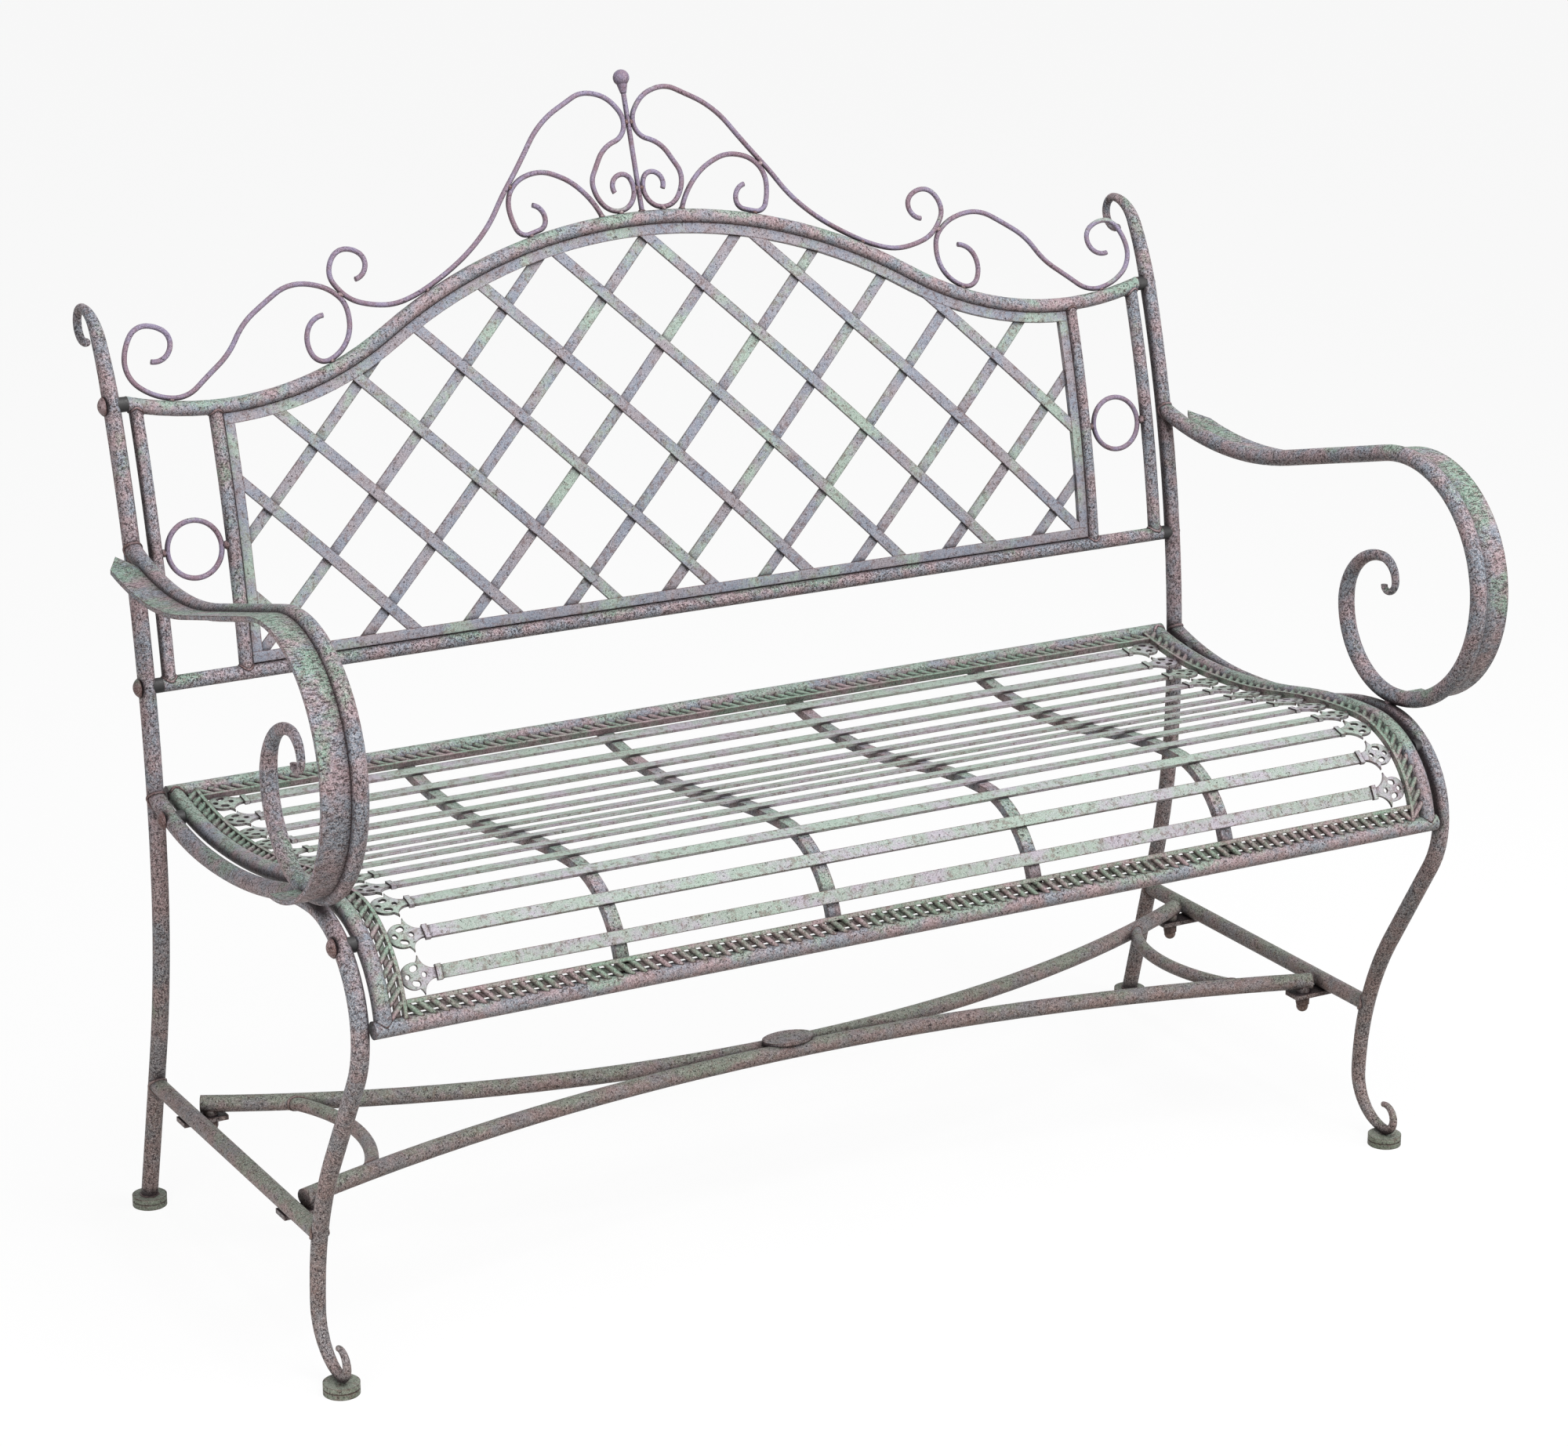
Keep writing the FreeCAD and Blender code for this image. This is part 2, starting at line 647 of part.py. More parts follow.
front_angle = size("seat_front_angle")
seat_crest = Vector(crest.x, size("seat_crest_z"), 0)
seat_roll_centre = seat_crest - Vector(0, size("seat_roll_radius"), 0)
front_rail = seat_roll_centre + unit(front_angle) * size("seat_roll_radius")
rear_rail = Vector(size("seat_rear_y"), size("seat_rear_z"), 0)
seat_dip = Vector(size("seat_dip_y"), size("seat_dip_z"), 0)
seat_dip_radius, seat_turn = level_bends(seat_crest, seat_dip, size("seat_crest_radius"))
seat_rear_radius = bottom_arc_radius(seat_dip, rear_rail)
seat_rear_turn = math.degrees(math.asin((rear_rail.x - seat_dip.x) / seat_rear_radius))

seat_path = Path(front_rail, front_angle - 90)
seat_path.arc(size("seat_roll_radius"), 90 - front_angle)
seat_path.arc(size("seat_crest_radius"), -seat_turn)
seat_path.arc(seat_dip_radius, seat_turn)
seat_path.arc(seat_rear_radius, seat_rear_turn)
seat_x = frame_x - size("tube_dia") - size("seat_gap")

front_bar = cylinder(
    "front_bar", "Sizes.tube_dia", "2 * Sizes.front_rail_half",
    Placement(front_rail - Vector(0, 0, size("front_rail_half")), Rotation()),
)
rear_bar = cylinder(
    "rear_bar", "Sizes.tube_dia", "2 * Sizes.rear_rail_half",
    Placement(rear_rail - Vector(0, 0, size("rear_rail_half")), Rotation()),
)
side_bar = tube("seat_side", seat_path, "tube_dia")
copes = [
    cylinder("cope", "Sizes.tube_dia + 2 * Sizes.weld_gap", "2 * Sizes.front_rail_half", bar.Placement)
    for bar in (front_bar, rear_bar)
]


def moved_copy(name, thing, z):
    """Another use of a piece, further along the third axis of the side view."""
    copy = doc.addObject("Part::Compound", name)
    copy.Links = [thing]
    copy.Placement = Placement(Vector(0, 0, z), Rotation())
    return copy


node(moved_copy("front_rail", front_bar, 0), "seat_front_rail", at_side(0))
node(moved_copy("rear_rail", rear_bar, 0), "seat_rear_rail", at_side(0))
side_bars = {}
for side, sign in SIDES:
    side_bars[side] = moved_copy("seat_side_bar", side_bar, sign * seat_x)
    holes = [moved_copy("side_hole", hole, sign * seat_x) for hole in seat_holes]
    trimmed = cut("seat_side_cut", side_bars[side], *copes, *holes)
    node(trimmed, f"seat_side_rail_{side}", at_side(0))

# Seat border: a rope of slanted strands on a flat core, between the seat tubes and a plain lip

border_reach = tube_r + size("border_width")
border_x = seat_x - border_reach
lip_begin = border_reach - size("border_lip")
lip_middle = border_reach - size("border_lip") / 2
rope_middle = (tube_r + lip_begin) / 2
core_begin = rope_middle - size("core_width") / 2
core_end = rope_middle + size("core_width") / 2
lip_height = size("lip_height")
thick = size("slat_thick")
seat_length = seat_path.length


def cross_strip(edge, way, begin, end, low, high):
    """Strip along X, between two distances from the rail at an edge of the seat."""
    near, far = sorted((edge + way * begin, edge + way * end))
    return slab(band(seat_path.part(near, far), low, high), -border_x, border_x)


def side_strip(sign, begin, end, low, high):
    """Strip along the seat, between two distances from a side rail."""
    near, far = sorted((sign * (seat_x - begin), sign * (seat_x - end)))
    return slab(band(seat_path, low, high), near, far)


def rope(strip, places, slant):
    """Core and lip of a border, joined by round strands at (distance along the seat, x) places."""
    core = strip(core_begin, core_end, 0, thick)
    lip = strip(lip_begin, border_reach, 0, lip_height)
    room = strip(0, lip_middle, -lip_height, 2 * lip_height)
    radius = size("strand_dia") / 2
    length = 2 * border_reach
    strands = []
    for distance, x in places:
        point, heading = seat_path.at(distance)
        begin = Vector(-length / 2, radius + size("strand_lift"), 0)
        rod = Part.makeCylinder(radius, length, begin, Vector(1, 0, 0))
        turn = Rotation(Vector(0, 0, 1), heading) * Rotation(Vector(0, 1, 0), slant)
        rod.Placement = Placement(point + Vector(0, 0, x), turn)
        strands += rod.common(room).Solids
    return feature("rope", core.multiFuse([lip] + strands))


def spread(begin, end, pitch):
    """Evenly spaced places that fill a stretch, as near the pitch as they come."""
    count = round((end - begin) / pitch)
    step = (end - begin) / count
    return [begin + (i + 0.5) * step for i in range(count)]


slant = size("strand_slant")
across = spread(-border_x, border_x, size("strand_pitch"))
for label, edge, way, bar in (("front", 0, 1, front_bar), ("rear", seat_length, -1, rear_bar)):
    strip = partial(cross_strip, edge, way)
    places = [(edge + way * rope_middle, x) for x in across]
    joined = rope(strip, places, slant)
    node(cut("border_cut", joined, bar), f"seat_border_{label}", at_side(0))

along = spread(tube_r, seat_length - tube_r, size("strand_pitch"))
for side, sign in SIDES:
    places = [(distance, sign * (seat_x - rope_middle)) for distance in along]
    joined = rope(partial(side_strip, sign), places, -slant)
    pierced = cut("border_cut", joined, side_bars[side], front_bar, rear_bar)
    node(pierced, f"seat_border_{side}", at_side(0))

# Slats and their pierced palmette ends

slat_half = border_x - size("palmette_length") - size("collar_length")
slat_step = (seat_length - size("first_slat") - size("last_slat")) / (size("slat_count") - 1)
slat_places = []
for i in range(int(size("slat_count"))):
    point, heading = seat_path.at(size("first_slat") + i * slat_step)
    slat_places.append(Placement(point, Rotation(Vector(0, 0, 1), heading)))


# Headings of the palmette's outline where it leaves a horn and a shoulder
HORN_HEADING = -80
LEAF_HEADING = 15


def long_hole(middle, heading):
    """Cutting bar with round ends, through a palmette."""
    radius = size("palmette_hole") / 2
    half = unit(heading) * (size("side_hole_length") / 2 - radius)
    run = Path(middle - half, heading).line(2 * half.Length)
    bar = slab(band(run, -radius, radius), 0, thick)
    return bar.multiFuse([Part.makeCylinder(radius, thick, end) for end in (middle - half, middle + half)])


def palmette():
    """Collar and leaf with two horns, drawn with its length along x from the end of a slat."""
    collar = size("collar_length")
    neck = Vector(collar, size("palmette_neck") / 2, 0)
    horn = Vector(collar + size("palmette_horn"), size("palmette_half"), 0)
    shoulder = Vector(horn.x + size("horn_width"), size("palmette_shoulder"), 0)
    tip = Vector(collar + size("palmette_length"), 0, 0)
    flare = Path(neck, 0).arc_to(horn)
    horn_back = Path(horn, HORN_HEADING).arc_to(shoulder)
    leaf_side = Path(shoulder, LEAF_HEADING).arc_to(tip)
    upper = flare.edges() + horn_back.edges() + leaf_side.edges()
    lower = [edge.mirror(Vector(), Vector(0, 1, 0)) for edge in upper]
    butt = Part.makeLine(Vector(neck.x, -neck.y, 0), neck)
    leaf_face = Part.Face(Part.Wire(Part.sortEdges(upper + lower + [butt])[0]))

    hole_r = size("palmette_hole") / 2
    side = Vector(shoulder.x + size("horn_width"), size("side_hole_y"), 0)
    tip_hole_x = tip.x - size("palmette_web") - hole_r
    holes = [Part.makeCylinder(hole_r, thick, Vector(x, 0, 0)) for x in (horn.x - hole_r, tip_hole_x)]
    # The long holes lie half as steep as the sides of the leaf
    slope = direction(tip - shoulder) / 2
    holes.append(long_hole(side, slope))
    holes.append(long_hole(Vector(side.x, -side.y, 0), -slope))
    half = size("collar_width") / 2
    ring = Part.makeBox(collar, 2 * half, thick + size("collar_rise"), Vector(0, -half, 0))
    return slab(leaf_face, 0, thick).cut(Part.makeCompound(holes)).fuse(ring).removeSplitter()


slat_bars = []
for place in slat_places:
    bar = doc.addObject("Part::Box", "slat")
    bar.setExpression("Length", "Sizes.slat_width")
    bar.setExpression("Width", "Sizes.slat_thick")
    bar.Height = 2 * slat_half
    bar.Placement = place * Placement(Vector(-size("slat_width") / 2, 0, -slat_half), Rotation())
    slat_bars.append(bar)
slat_group = doc.addObject("Part::Compound", "slats")
slat_group.Links = slat_bars
node(slat_group, "seat_slats", at_side(0))

# Length along X, width along the seat and thickness upwards in the side view
lie_right = Rotation(Vector(0, 0, 1), Vector(-1, 0, 0), Vector(0, 1, 0), "ZXY")
lie_left = Rotation(Vector(0, 0, -1), Vector(1, 0, 0), Vector(0, 1, 0), "ZXY")
slat_ends = []
for place in slat_places:
    for turn, x in ((lie_right, slat_half), (lie_left, -slat_half)):
        slat_end = palmette()
        slat_end.Placement = place * Placement(Vector(0, 0, x), turn)
        slat_ends.append(slat_end)
palmettes = feature("palmettes", Part.makeCompound(slat_ends))
rear_border = feature("border", cross_strip(seat_length, -1, 0, border_reach, 0, lip_height))
node(cut("palmette_cut", palmettes, rear_border), "slat_ends", at_side(0))

# Bearers under the slats, from rail to rail

bearer_face = band(seat_path, -size("bearer_depth"), 0)
bearers = []
for x in (size("inner_bearer_x"), size("outer_bearer_x")):
    for sign in (-1, 1):
        middle = sign * x
        bearers.append(slab(bearer_face, middle - size("bearer_width") / 2, middle + size("bearer_width") / 2))
bearer_group = feature("bearers", Part.makeCompound(bearers))
node(cut("bearer_cut", bearer_group, front_bar, rear_bar), "seat_bearers", at_side(0))

# Back panel, drawn in the plane of the crest: x along X, y up the plane, z to the front.
# Below the top rail's bolts the panel bends forward with the posts.

bend = size("post_upper_radius")
tilt = math.degrees(math.asin((size("top_rail_z") - size("waist_z")) / bend))
low_tilt = math.degrees(math.asin((size("bottom_rail_z") - size("waist_z")) / bend))
CREST = Placement(
    Vector(0, post_y(size("top_rail_z")), size("top_rail_z")),
    Rotation(Vector(1, 0, 0), 90 - tilt),
)
panel_turn = tilt - low_tilt
back_half = frame_x - tube_r - size("back_gap")
rail_r = size("rail_dia") / 2
stile_r = size("stile_dia") / 2

arch_low_x = size("arch_low_x")
arch_sum = (arch_low_x ** 2 + size("arch_rise") ** 2) / (2 * size("arch_rise"))
crown_radius = size("arch_crown_radius")
haunch_radius = arch_sum - crown_radius
arch_turn = math.degrees(math.asin(arch_low_x / arch_sum))
end_turn = math.degrees(math.asin((back_half - arch_low_x) / haunch_radius))
arch_low_y = haunch_radius * (math.cos(math.radians(end_turn)) - 1)
arch_peak_y = arch_low_y + size("arch_rise")


def arch(turn_out):
    """Middle line of the arched rail, left to right, ending the given turn beyond its lowest points."""
    run = math.sin(math.radians(turn_out)) * haunch_radius
    lift = haunch_radius * (1 - math.cos(math.radians(turn_out)))
    path = Path(Vector(-arch_low_x - run, arch_low_y + lift, 0), -turn_out)
    path.arc(haunch_radius, turn_out + arch_turn)
    path.arc(crown_radius, -2 * arch_turn)
    path.arc(haunch_radius, turn_out + arch_turn)
    return path


def rail_height(x):
    """Height of the arched rail's middle line at a distance from the middle, on its outer bends."""
    return arch_low_y + haunch_radius - math.sqrt(haunch_radius ** 2 - (x - arch_low_x) ** 2)


def panel_point(x, turn):
    """Middle of the panel at a turn below the top rail's bolts."""
    angle = math.radians(turn)
    return Vector(x, -bend * math.sin(angle), bend * (math.cos(angle) - 1))


def end_drill(x, point):
    """Hole along X for a bolt in the end of a back rail."""
    depth = size("bolt_grip") + 1
    return Part.makeCylinder(hole_dia / 2, 2 * depth, Vector(x - depth, point.y, point.z), Vector(1, 0, 0))


over_turn = math.degrees(math.asin((back_half + rail_r - arch_low_x) / haunch_radius))
top_bar = tube("top_bar", arch(over_turn), "rail_dia")
beyond = Part.makeBox(size("rail_dia"), 4 * rail_r, 4 * rail_r, Vector(back_half, -2 * rail_r, -2 * rail_r))
end_trims = feature("end_trims", Part.makeCompound([beyond, beyond.mirror(Vector(), Vector(1, 0, 0))]))
low_point = panel_point(0, panel_turn)
bottom_bar = cylinder(
    "bottom_bar", "Sizes.rail_dia", "Sizes.frame_spacing - Sizes.tube_dia - 2 * Sizes.back_gap",
    Placement(low_point - Vector(back_half, 0, 0), Rotation(Vector(0, 1, 0), 90)),
)
for bar, label, point in ((top_bar, "back_top_rail", Vector()), (bottom_bar, "back_bottom_rail", low_point)):
    drills = feature("end_drills", Part.makeCompound([end_drill(sign * back_half, point) for sign in (-1, 1)]))
    node(cut("rail_drilled", bar, drills, end_trims), label, CREST)

for name in ("outer_stile", "inner_stile"):
    stile_x = size(f"{name}_x")
    top_turn = math.degrees(math.asin(-rail_height(stile_x) / bend))
    start = panel_point(0, top_turn)
    stile_path = Path(Vector(start.y, start.z, 0), 180 + top_turn).arc(bend, panel_turn - top_turn)
    upright = tube(name, stile_path, "stile_dia")
    for side, sign in SIDES:
        stood = moved_copy(f"{name}_{side}", upright, 0)
        stood.Placement = Placement(Vector(sign * stile_x, 0, 0), SIDE_VIEW)
        node(cut("stile_cut", stood, top_bar, bottom_bar), f"back_{name}_{side}", CREST)

# Lattice: strips round the opening, and two layers of bars that cross in front of each other


def panel_layer(low, high):
    """The panel's curved sheet between two depths, wide enough for the whole lattice."""
    reach = arch_peak_y
    path = Path(Vector(reach, 0, 0), 180).line(reach).arc(bend, panel_turn)
    sheet_solid = slab(band(path, -high, -low), -size("outer_stile_x"), size("outer_stile_x"))
    sheet_solid.Placement = Placement(Vector(), SIDE_VIEW) * sheet_solid.Placement
    return sheet_solid


def column(face):
    """Prism through the whole depth of the panel over a face of the crest plane."""
    return slab(face, low_point.z - size("tube_dia"), size("tube_dia"))


def rectangle(x_0, y_0, x_1, y_1):
    return polygon(((x_0, y_0, 0), (x_1, y_0, 0), (x_1, y_1, 0), (x_0, y_1, 0)))


def under_arch(drop):
    """Face below the arched rail's middle line, lowered square to it."""
    upper = arch(end_turn).beside(-drop)
    left, right = upper.at(0)[0], upper.point
    floor_y = 2 * low_point.y
    corners = [right, Vector(right.x, floor_y, 0), Vector(left.x, floor_y, 0), left]
    walls = [Part.makeLine(a, b) for a, b in zip(corners, corners[1:])]
    return Part.Face(Part.Wire(Part.sortEdges(upper.edges() + walls)[0]))


layer = size("lattice_layer")
edging = size("lattice_strip")
outer_x = size("inner_stile_x") - stile_r
inner_x = outer_x - edging
sill = low_point.y + rail_r
frame_sheet = panel_layer(-layer, layer)
below_top = column(under_arch(rail_r + edging))
top_edge = column(under_arch(rail_r)).cut(below_top)
pieces = {
    "top": top_edge.common(column(rectangle(-outer_x, sill, outer_x, arch_peak_y))),
    "bottom": column(rectangle(-outer_x, sill, outer_x, sill + edging)),
    "side_L": column(rectangle(-outer_x, sill + edging, -inner_x, arch_peak_y)).common(below_top),
    "side_R": column(rectangle(inner_x, sill + edging, outer_x, arch_peak_y)).common(below_top),
}
for name, piece in pieces.items():
    node(feature("lattice_frame", frame_sheet.common(piece)), f"lattice_frame_{name}", CREST)

opening = below_top.common(column(rectangle(-inner_x, sill + edging, inner_x, arch_peak_y)))
top_middle = arch_peak_y - rail_r - edging
bar_reach = top_middle - sill
half_wide = size("lattice_bar") / math.sqrt(2)


def lattice(low, high, lean):
    """Bars at 45 degrees in one layer; lean is 1 where they fall to the right."""
    sheet_solid = panel_layer(low, high).common(opening)
    bars = []
    pitch = size("lattice_pitch")
    count = int((inner_x + bar_reach) / pitch) + 1
    for i in range(-count, count + 1):
        x = i * pitch
        outline = polygon((
            (lean * (x - bar_reach - half_wide), top_middle + bar_reach, 0),
            (lean * (x - bar_reach + half_wide), top_middle + bar_reach, 0),
            (lean * (x + bar_reach + half_wide), top_middle - bar_reach, 0),
            (lean * (x + bar_reach - half_wide), top_middle - bar_reach, 0),
        ))
        bars += column(outline).common(sheet_solid).Solids
    shortest = 2 * size("lattice_bar")
    long_enough = [bar for bar in bars if bar.Volume > shortest * size("lattice_bar") * layer]
    return feature("lattice", Part.makeCompound(long_enough))


node(lattice(0, layer, 1), "lattice_bars_front", CREST)
node(lattice(-layer, 0, -1), "lattice_bars_rear", CREST)

# Rings between the stiles, with a weld nub on each side

ring_turn = math.degrees(math.asin(size("ring_drop") / bend))
ring_x = (size("outer_stile_x") + size("inner_stile_x")) / 2
nub_length = size("outer_stile_x") - size("inner_stile_x") - size("stile_dia")
for side, sign in SIDES:
    ring = doc.addObject("Part::Torus", "ring")
    ring.setExpression("Radius1", "(Sizes.ring_dia - Sizes.rod_dia) / 2")
    ring.setExpression("Radius2", "Sizes.rod_dia / 2")
    hoop = Part.makeCylinder((size("ring_dia") - size("rod_dia")) / 2, 4 * stile_r, Vector(0, 0, -2 * stile_r))
    nub = Part.makeCylinder(size("rod_dia") / 2, nub_length, Vector(-nub_length / 2, 0, 0), Vector(1, 0, 0))
    nubs = feature("ring_nubs", nub.cut(hoop))
    welded = doc.addObject("Part::Fuse", "ring_welded")
    welded.Base = ring
    welded.Tool = nubs
    place = Placement(panel_point(sign * ring_x, ring_turn), Rotation(Vector(1, 0, 0), ring_turn))
    node(welded, f"side_ring_{side}", CREST * place)

# Crest scrolls: bent rod in the plane of the crest, drawn on the right and mirrored for the left.
# Heights are above the top of the arched rail's peak.

rod_r = size("rod_dia") / 2
rail_top = arch_peak_y + rail_r


def crest_point(x, height):
    return Vector(x, rail_top + height, 0)


def free(x, height):
    return crest_point(x, height), None


def on_rail(x):
    """A rod that lies on the arched rail over a point of its right half."""
    lift = rail_r + rod_r
    swap_x = math.sin(math.radians(arch_turn)) * crown_radius
    if x < swap_x:
        angle = math.degrees(math.asin(x / crown_radius))
        centre = Vector(0, arch_peak_y - crown_radius, 0)
        return centre + unit(90 - angle) * (crown_radius + lift), -angle
    angle = math.degrees(math.asin((x - arch_low_x) / haunch_radius))
    centre = Vector(arch_low_x, arch_low_y + haunch_radius, 0)
    return centre + unit(angle - 90) * (haunch_radius - lift), angle


def touching(point, heading, side):
    """A rod beside a joint of two rods: side is 1 left of the heading and -1 right of it."""
    return point + unit(heading + 90 * side) * rod_r, heading


def against_spike(height, heading):
    return crest_point(2 * rod_r, height), heading


def back_on_rail(x):
    point, heading = on_rail(x)
    return point, heading + 180


kiss_low = crest_point(136, 35)
kiss_end = crest_point(325.3, -49)

crest_scroll = smooth_path((
    free(26, 20),
    free(15, 37),
    against_spike(22, -90),
    on_rail(23),
    free(48, 27),
    free(38, 53),
    against_spike(87, 90),
    free(15, 107),
    free(39, 118),
    free(73, 106),
    touching(kiss_low, -51, 1),
    free(170, -5),
    on_rail(234),
    free(286, -62.5),
    touching(kiss_end, 47, 1),
    free(333, -26),
    free(314, -7),
    free(296, -24),
    free(308, -36),
))
small_scroll = smooth_path((
    free(42.5, -4),
    free(58, 22),
    free(79, 39),
    free(105, 46.5),
    touching(kiss_low, -51, -1),
    free(140, 13),
    back_on_rail(121),
    free(104, 0),
    free(115, 16),
))
end_scroll = smooth_path((
    free(346, -66),
    free(363, -78),
    back_on_rail(342),
    free(320.5, -76),
    touching(kiss_end, 47, -1),
    free(363, -35),
    free(414, -57),
    free(456, -101),
    on_rail(507),
    free(545, -86),
    free(519, -58),
    free(499, -75),
    free(520, -91),
))
for name, path in (("crest_scroll", crest_scroll), ("small_scroll", small_scroll), ("end_scroll", end_scroll)):
    rod = tube(name, path, "rod_dia")
    if path is small_scroll:
        rod = cut("small_scroll_cut", rod, top_bar)
    node(rod, f"{name}_R", CREST)
    mirrored = doc.addObject("Part::Mirroring", f"{name}_mirrored")
    mirrored.Source = rod
    mirrored.Normal = Vector(1, 0, 0)
    node(mirrored, f"{name}_L")

# Finial: spike and ball

spike_start = Placement(Vector(0, arch_peak_y, 0), Rotation(Vector(1, 0, 0), -90))
spike = cylinder("spike", "Sizes.rod_dia", "Sizes.rail_dia / 2 + Sizes.ball_height", spike_start)
node(cut("spike_cut", spike, top_bar), "finial_rod", CREST)
ball = doc.addObject("Part::Sphere", "ball")
ball.setExpression("Radius", "Sizes.ball_dia / 2")
ball.Placement = Placement(crest_point(0, size("ball_height")), Rotation())
cone = doc.addObject("Part::Cone", "ball_neck")
cone.setExpression("Radius1", "Sizes.ball_neck_low_dia / 2")
cone.setExpression("Radius2", "Sizes.ball_neck_top_dia / 2")
cone.setExpression("Height", "Sizes.ball_neck_length")
neck_top = size("ball_height") - math.sqrt(size("ball_dia") ** 2 - size("ball_neck_top_dia") ** 2) / 2
cone_start = crest_point(0, neck_top - size("ball_neck_length"))
cone.Placement = Placement(cone_start, Rotation(Vector(1, 0, 0), -90))
finial = doc.addObject("Part::Fuse", "finial")
finial.Base = ball
finial.Tool = cone
node(cut("finial_cut", finial, spike), "finial_ball", CREST)

# Stretcher: two bowed tubes that touch at the middle

half_length = size("stretcher_half")
STRETCHER = Placement(Vector(0, 0, size("stretcher_z")), Rotation())
mid_front = size("stretcher_mid_y")
mid_rear = mid_front + size("tube_dia")


def bowed(middle_y, end_y):
    """Arc from the left end to the right end, with its radius."""
    bow = abs(middle_y - end_y)
    radius = (half_length ** 2 + bow ** 2) / (2 * bow)
    half_turn = math.degrees(math.asin(half_length / radius))
    lean = 1 if middle_y > end_y else -1
    path = Path(Vector(-half_length, end_y, 0), lean * half_turn)
    return path.arc(radius, -2 * lean * half_turn), radius


front_arc, front_radius = bowed(mid_front, size("stretcher_front_y"))
rear_arc, rear_bow_radius = bowed(mid_rear, size("stretcher_rear_y"))
front_tube = tube("stretcher_front", front_arc, "tube_dia")
rear_tube = tube("stretcher_rear", rear_arc, "tube_dia")
node(moved_copy("stretcher_front_bar", front_tube, 0), "stretcher_front", STRETCHER)
node(moved_copy("stretcher_rear_bar", rear_tube, 0), "stretcher_rear", STRETCHER)


def bow_depth(radius, x):
    return radius - math.sqrt(radius ** 2 - x ** 2)


brace_x = size("brace_end_x")
brace_front = Vector(brace_x, mid_front - bow_depth(front_radius, brace_x), 0)
brace_rear = Vector(brace_x, mid_rear + bow_depth(rear_bow_radius, brace_x), 0)
brace_span = (brace_rear - brace_front).Length / 2
brace_turn = 2 * math.degrees(math.atan(size("brace_bow") / brace_span))
brace_radius = brace_span / math.sin(math.radians(brace_turn))
brace_path = Path(brace_front, 90 + brace_turn).arc(brace_radius, -2 * brace_turn)
brace = tube("brace", brace_path, "brace_dia")
brace_cut = cut("brace_cut", brace, front_tube, rear_tube)
node(brace_cut, "stretcher_brace_R", STRETCHER)
brace_mirror = doc.addObject("Part::Mirroring", "brace_mirrored")
brace_mirror.Source = brace_cut
brace_mirror.Normal = Vector(1, 0, 0)
node(brace_mirror, "stretcher_brace_L")

oval = doc.addObject("Part::Ellipse", "oval")
oval.setExpression("MajorRadius", "Sizes.plate_length / 2")
oval.setExpression("MinorRadius", "Sizes.plate_width / 2")
plate = doc.addObject("Part::Extrusion", "plate")
plate.Base = oval
plate.Dir = Vector(0, 0, 1)
plate.DirMode = "Custom"
plate.setExpression("LengthFwd", "Sizes.plate_thick")
plate.Solid = True
node(plate, "stretcher_plate", STRETCHER * Placement(Vector(0, (mid_front + mid_rear) / 2, tube_r), Rotation()))

# Stretcher ends: boss under the tube, lug under the lower rail, cap nut below

lug_top = size("lower_rail_z") - tube_r
lug_bottom = lug_top - size("lug_thick")
boss_x = size("boss_x")
boss_ys = (mid_front - bow_depth(front_radius, boss_x), mid_rear + bow_depth(rear_bow_radius, boss_x))
boss_height = size("stretcher_z") - lug_top
stud_reach = boss_height - tube_r


def cap_nut():
    """Hexagon nut with a round cap, upside down below z = 0, and its stud above."""
    corner = size("nut_across") / math.sqrt(3)
    hexagon = polygon([tuple(unit(60 * i) * corner) for i in range(6)])
    body = slab(hexagon, -size("nut_height"), 0)
    dome_r = size("nut_dome_dia") / 2
    stem = size("nut_dome_height") - dome_r
    body = body.fuse(Part.makeCylinder(dome_r, stem, Vector(0, 0, -size("nut_height") - stem)))
    body = body.fuse(Part.makeSphere(dome_r, Vector(0, 0, -size("nut_height") - stem)))
    stud = Part.makeCylinder(size("bolt_dia") / 2, size("lug_thick") + stud_reach)
    return body.fuse(stud).removeSplitter()


bosses = []
nuts = []
lugs = {"L": [], "R": []}
for side, sign in SIDES:
    for y in boss_ys:
        spot = Vector(sign * boss_x, y, 0)
        stud_hole = Part.makeCylinder(hole_dia / 2, size("lug_thick") + stud_reach, spot + Vector(0, 0, lug_bottom))
        boss = Part.makeCylinder(size("boss_dia") / 2, boss_height, spot + Vector(0, 0, lug_top))
        bosses.append(boss.cut(stud_hole))
        nut = cap_nut()
        nut.translate(spot + Vector(0, 0, lug_bottom))
        nuts.append(nut)
        inner, outer = sorted((sign * size("lug_inner_x"), sign * size("lug_outer_x")))
        corner = Vector(inner, y - size("lug_width") / 2, lug_bottom)
        plate_box = Part.makeBox(outer - inner, size("lug_width"), size("lug_thick"), corner)
        lugs[side].append(plate_box.cut(stud_hole))
    node(feature("lugs", Part.makeCompound(lugs[side])), f"stretcher_lugs_{side}")
boss_group = feature("bosses", Part.makeCompound(bosses))
node(cut("boss_cut", boss_group, named("stretcher_front"), named("stretcher_rear")), "stretcher_bosses")
node(feature("nuts", Part.makeCompound(nuts)), "stretcher_cap_nuts")

# Bolts and spacers between the panels and the end frames, drawn in the side view at the right end frame


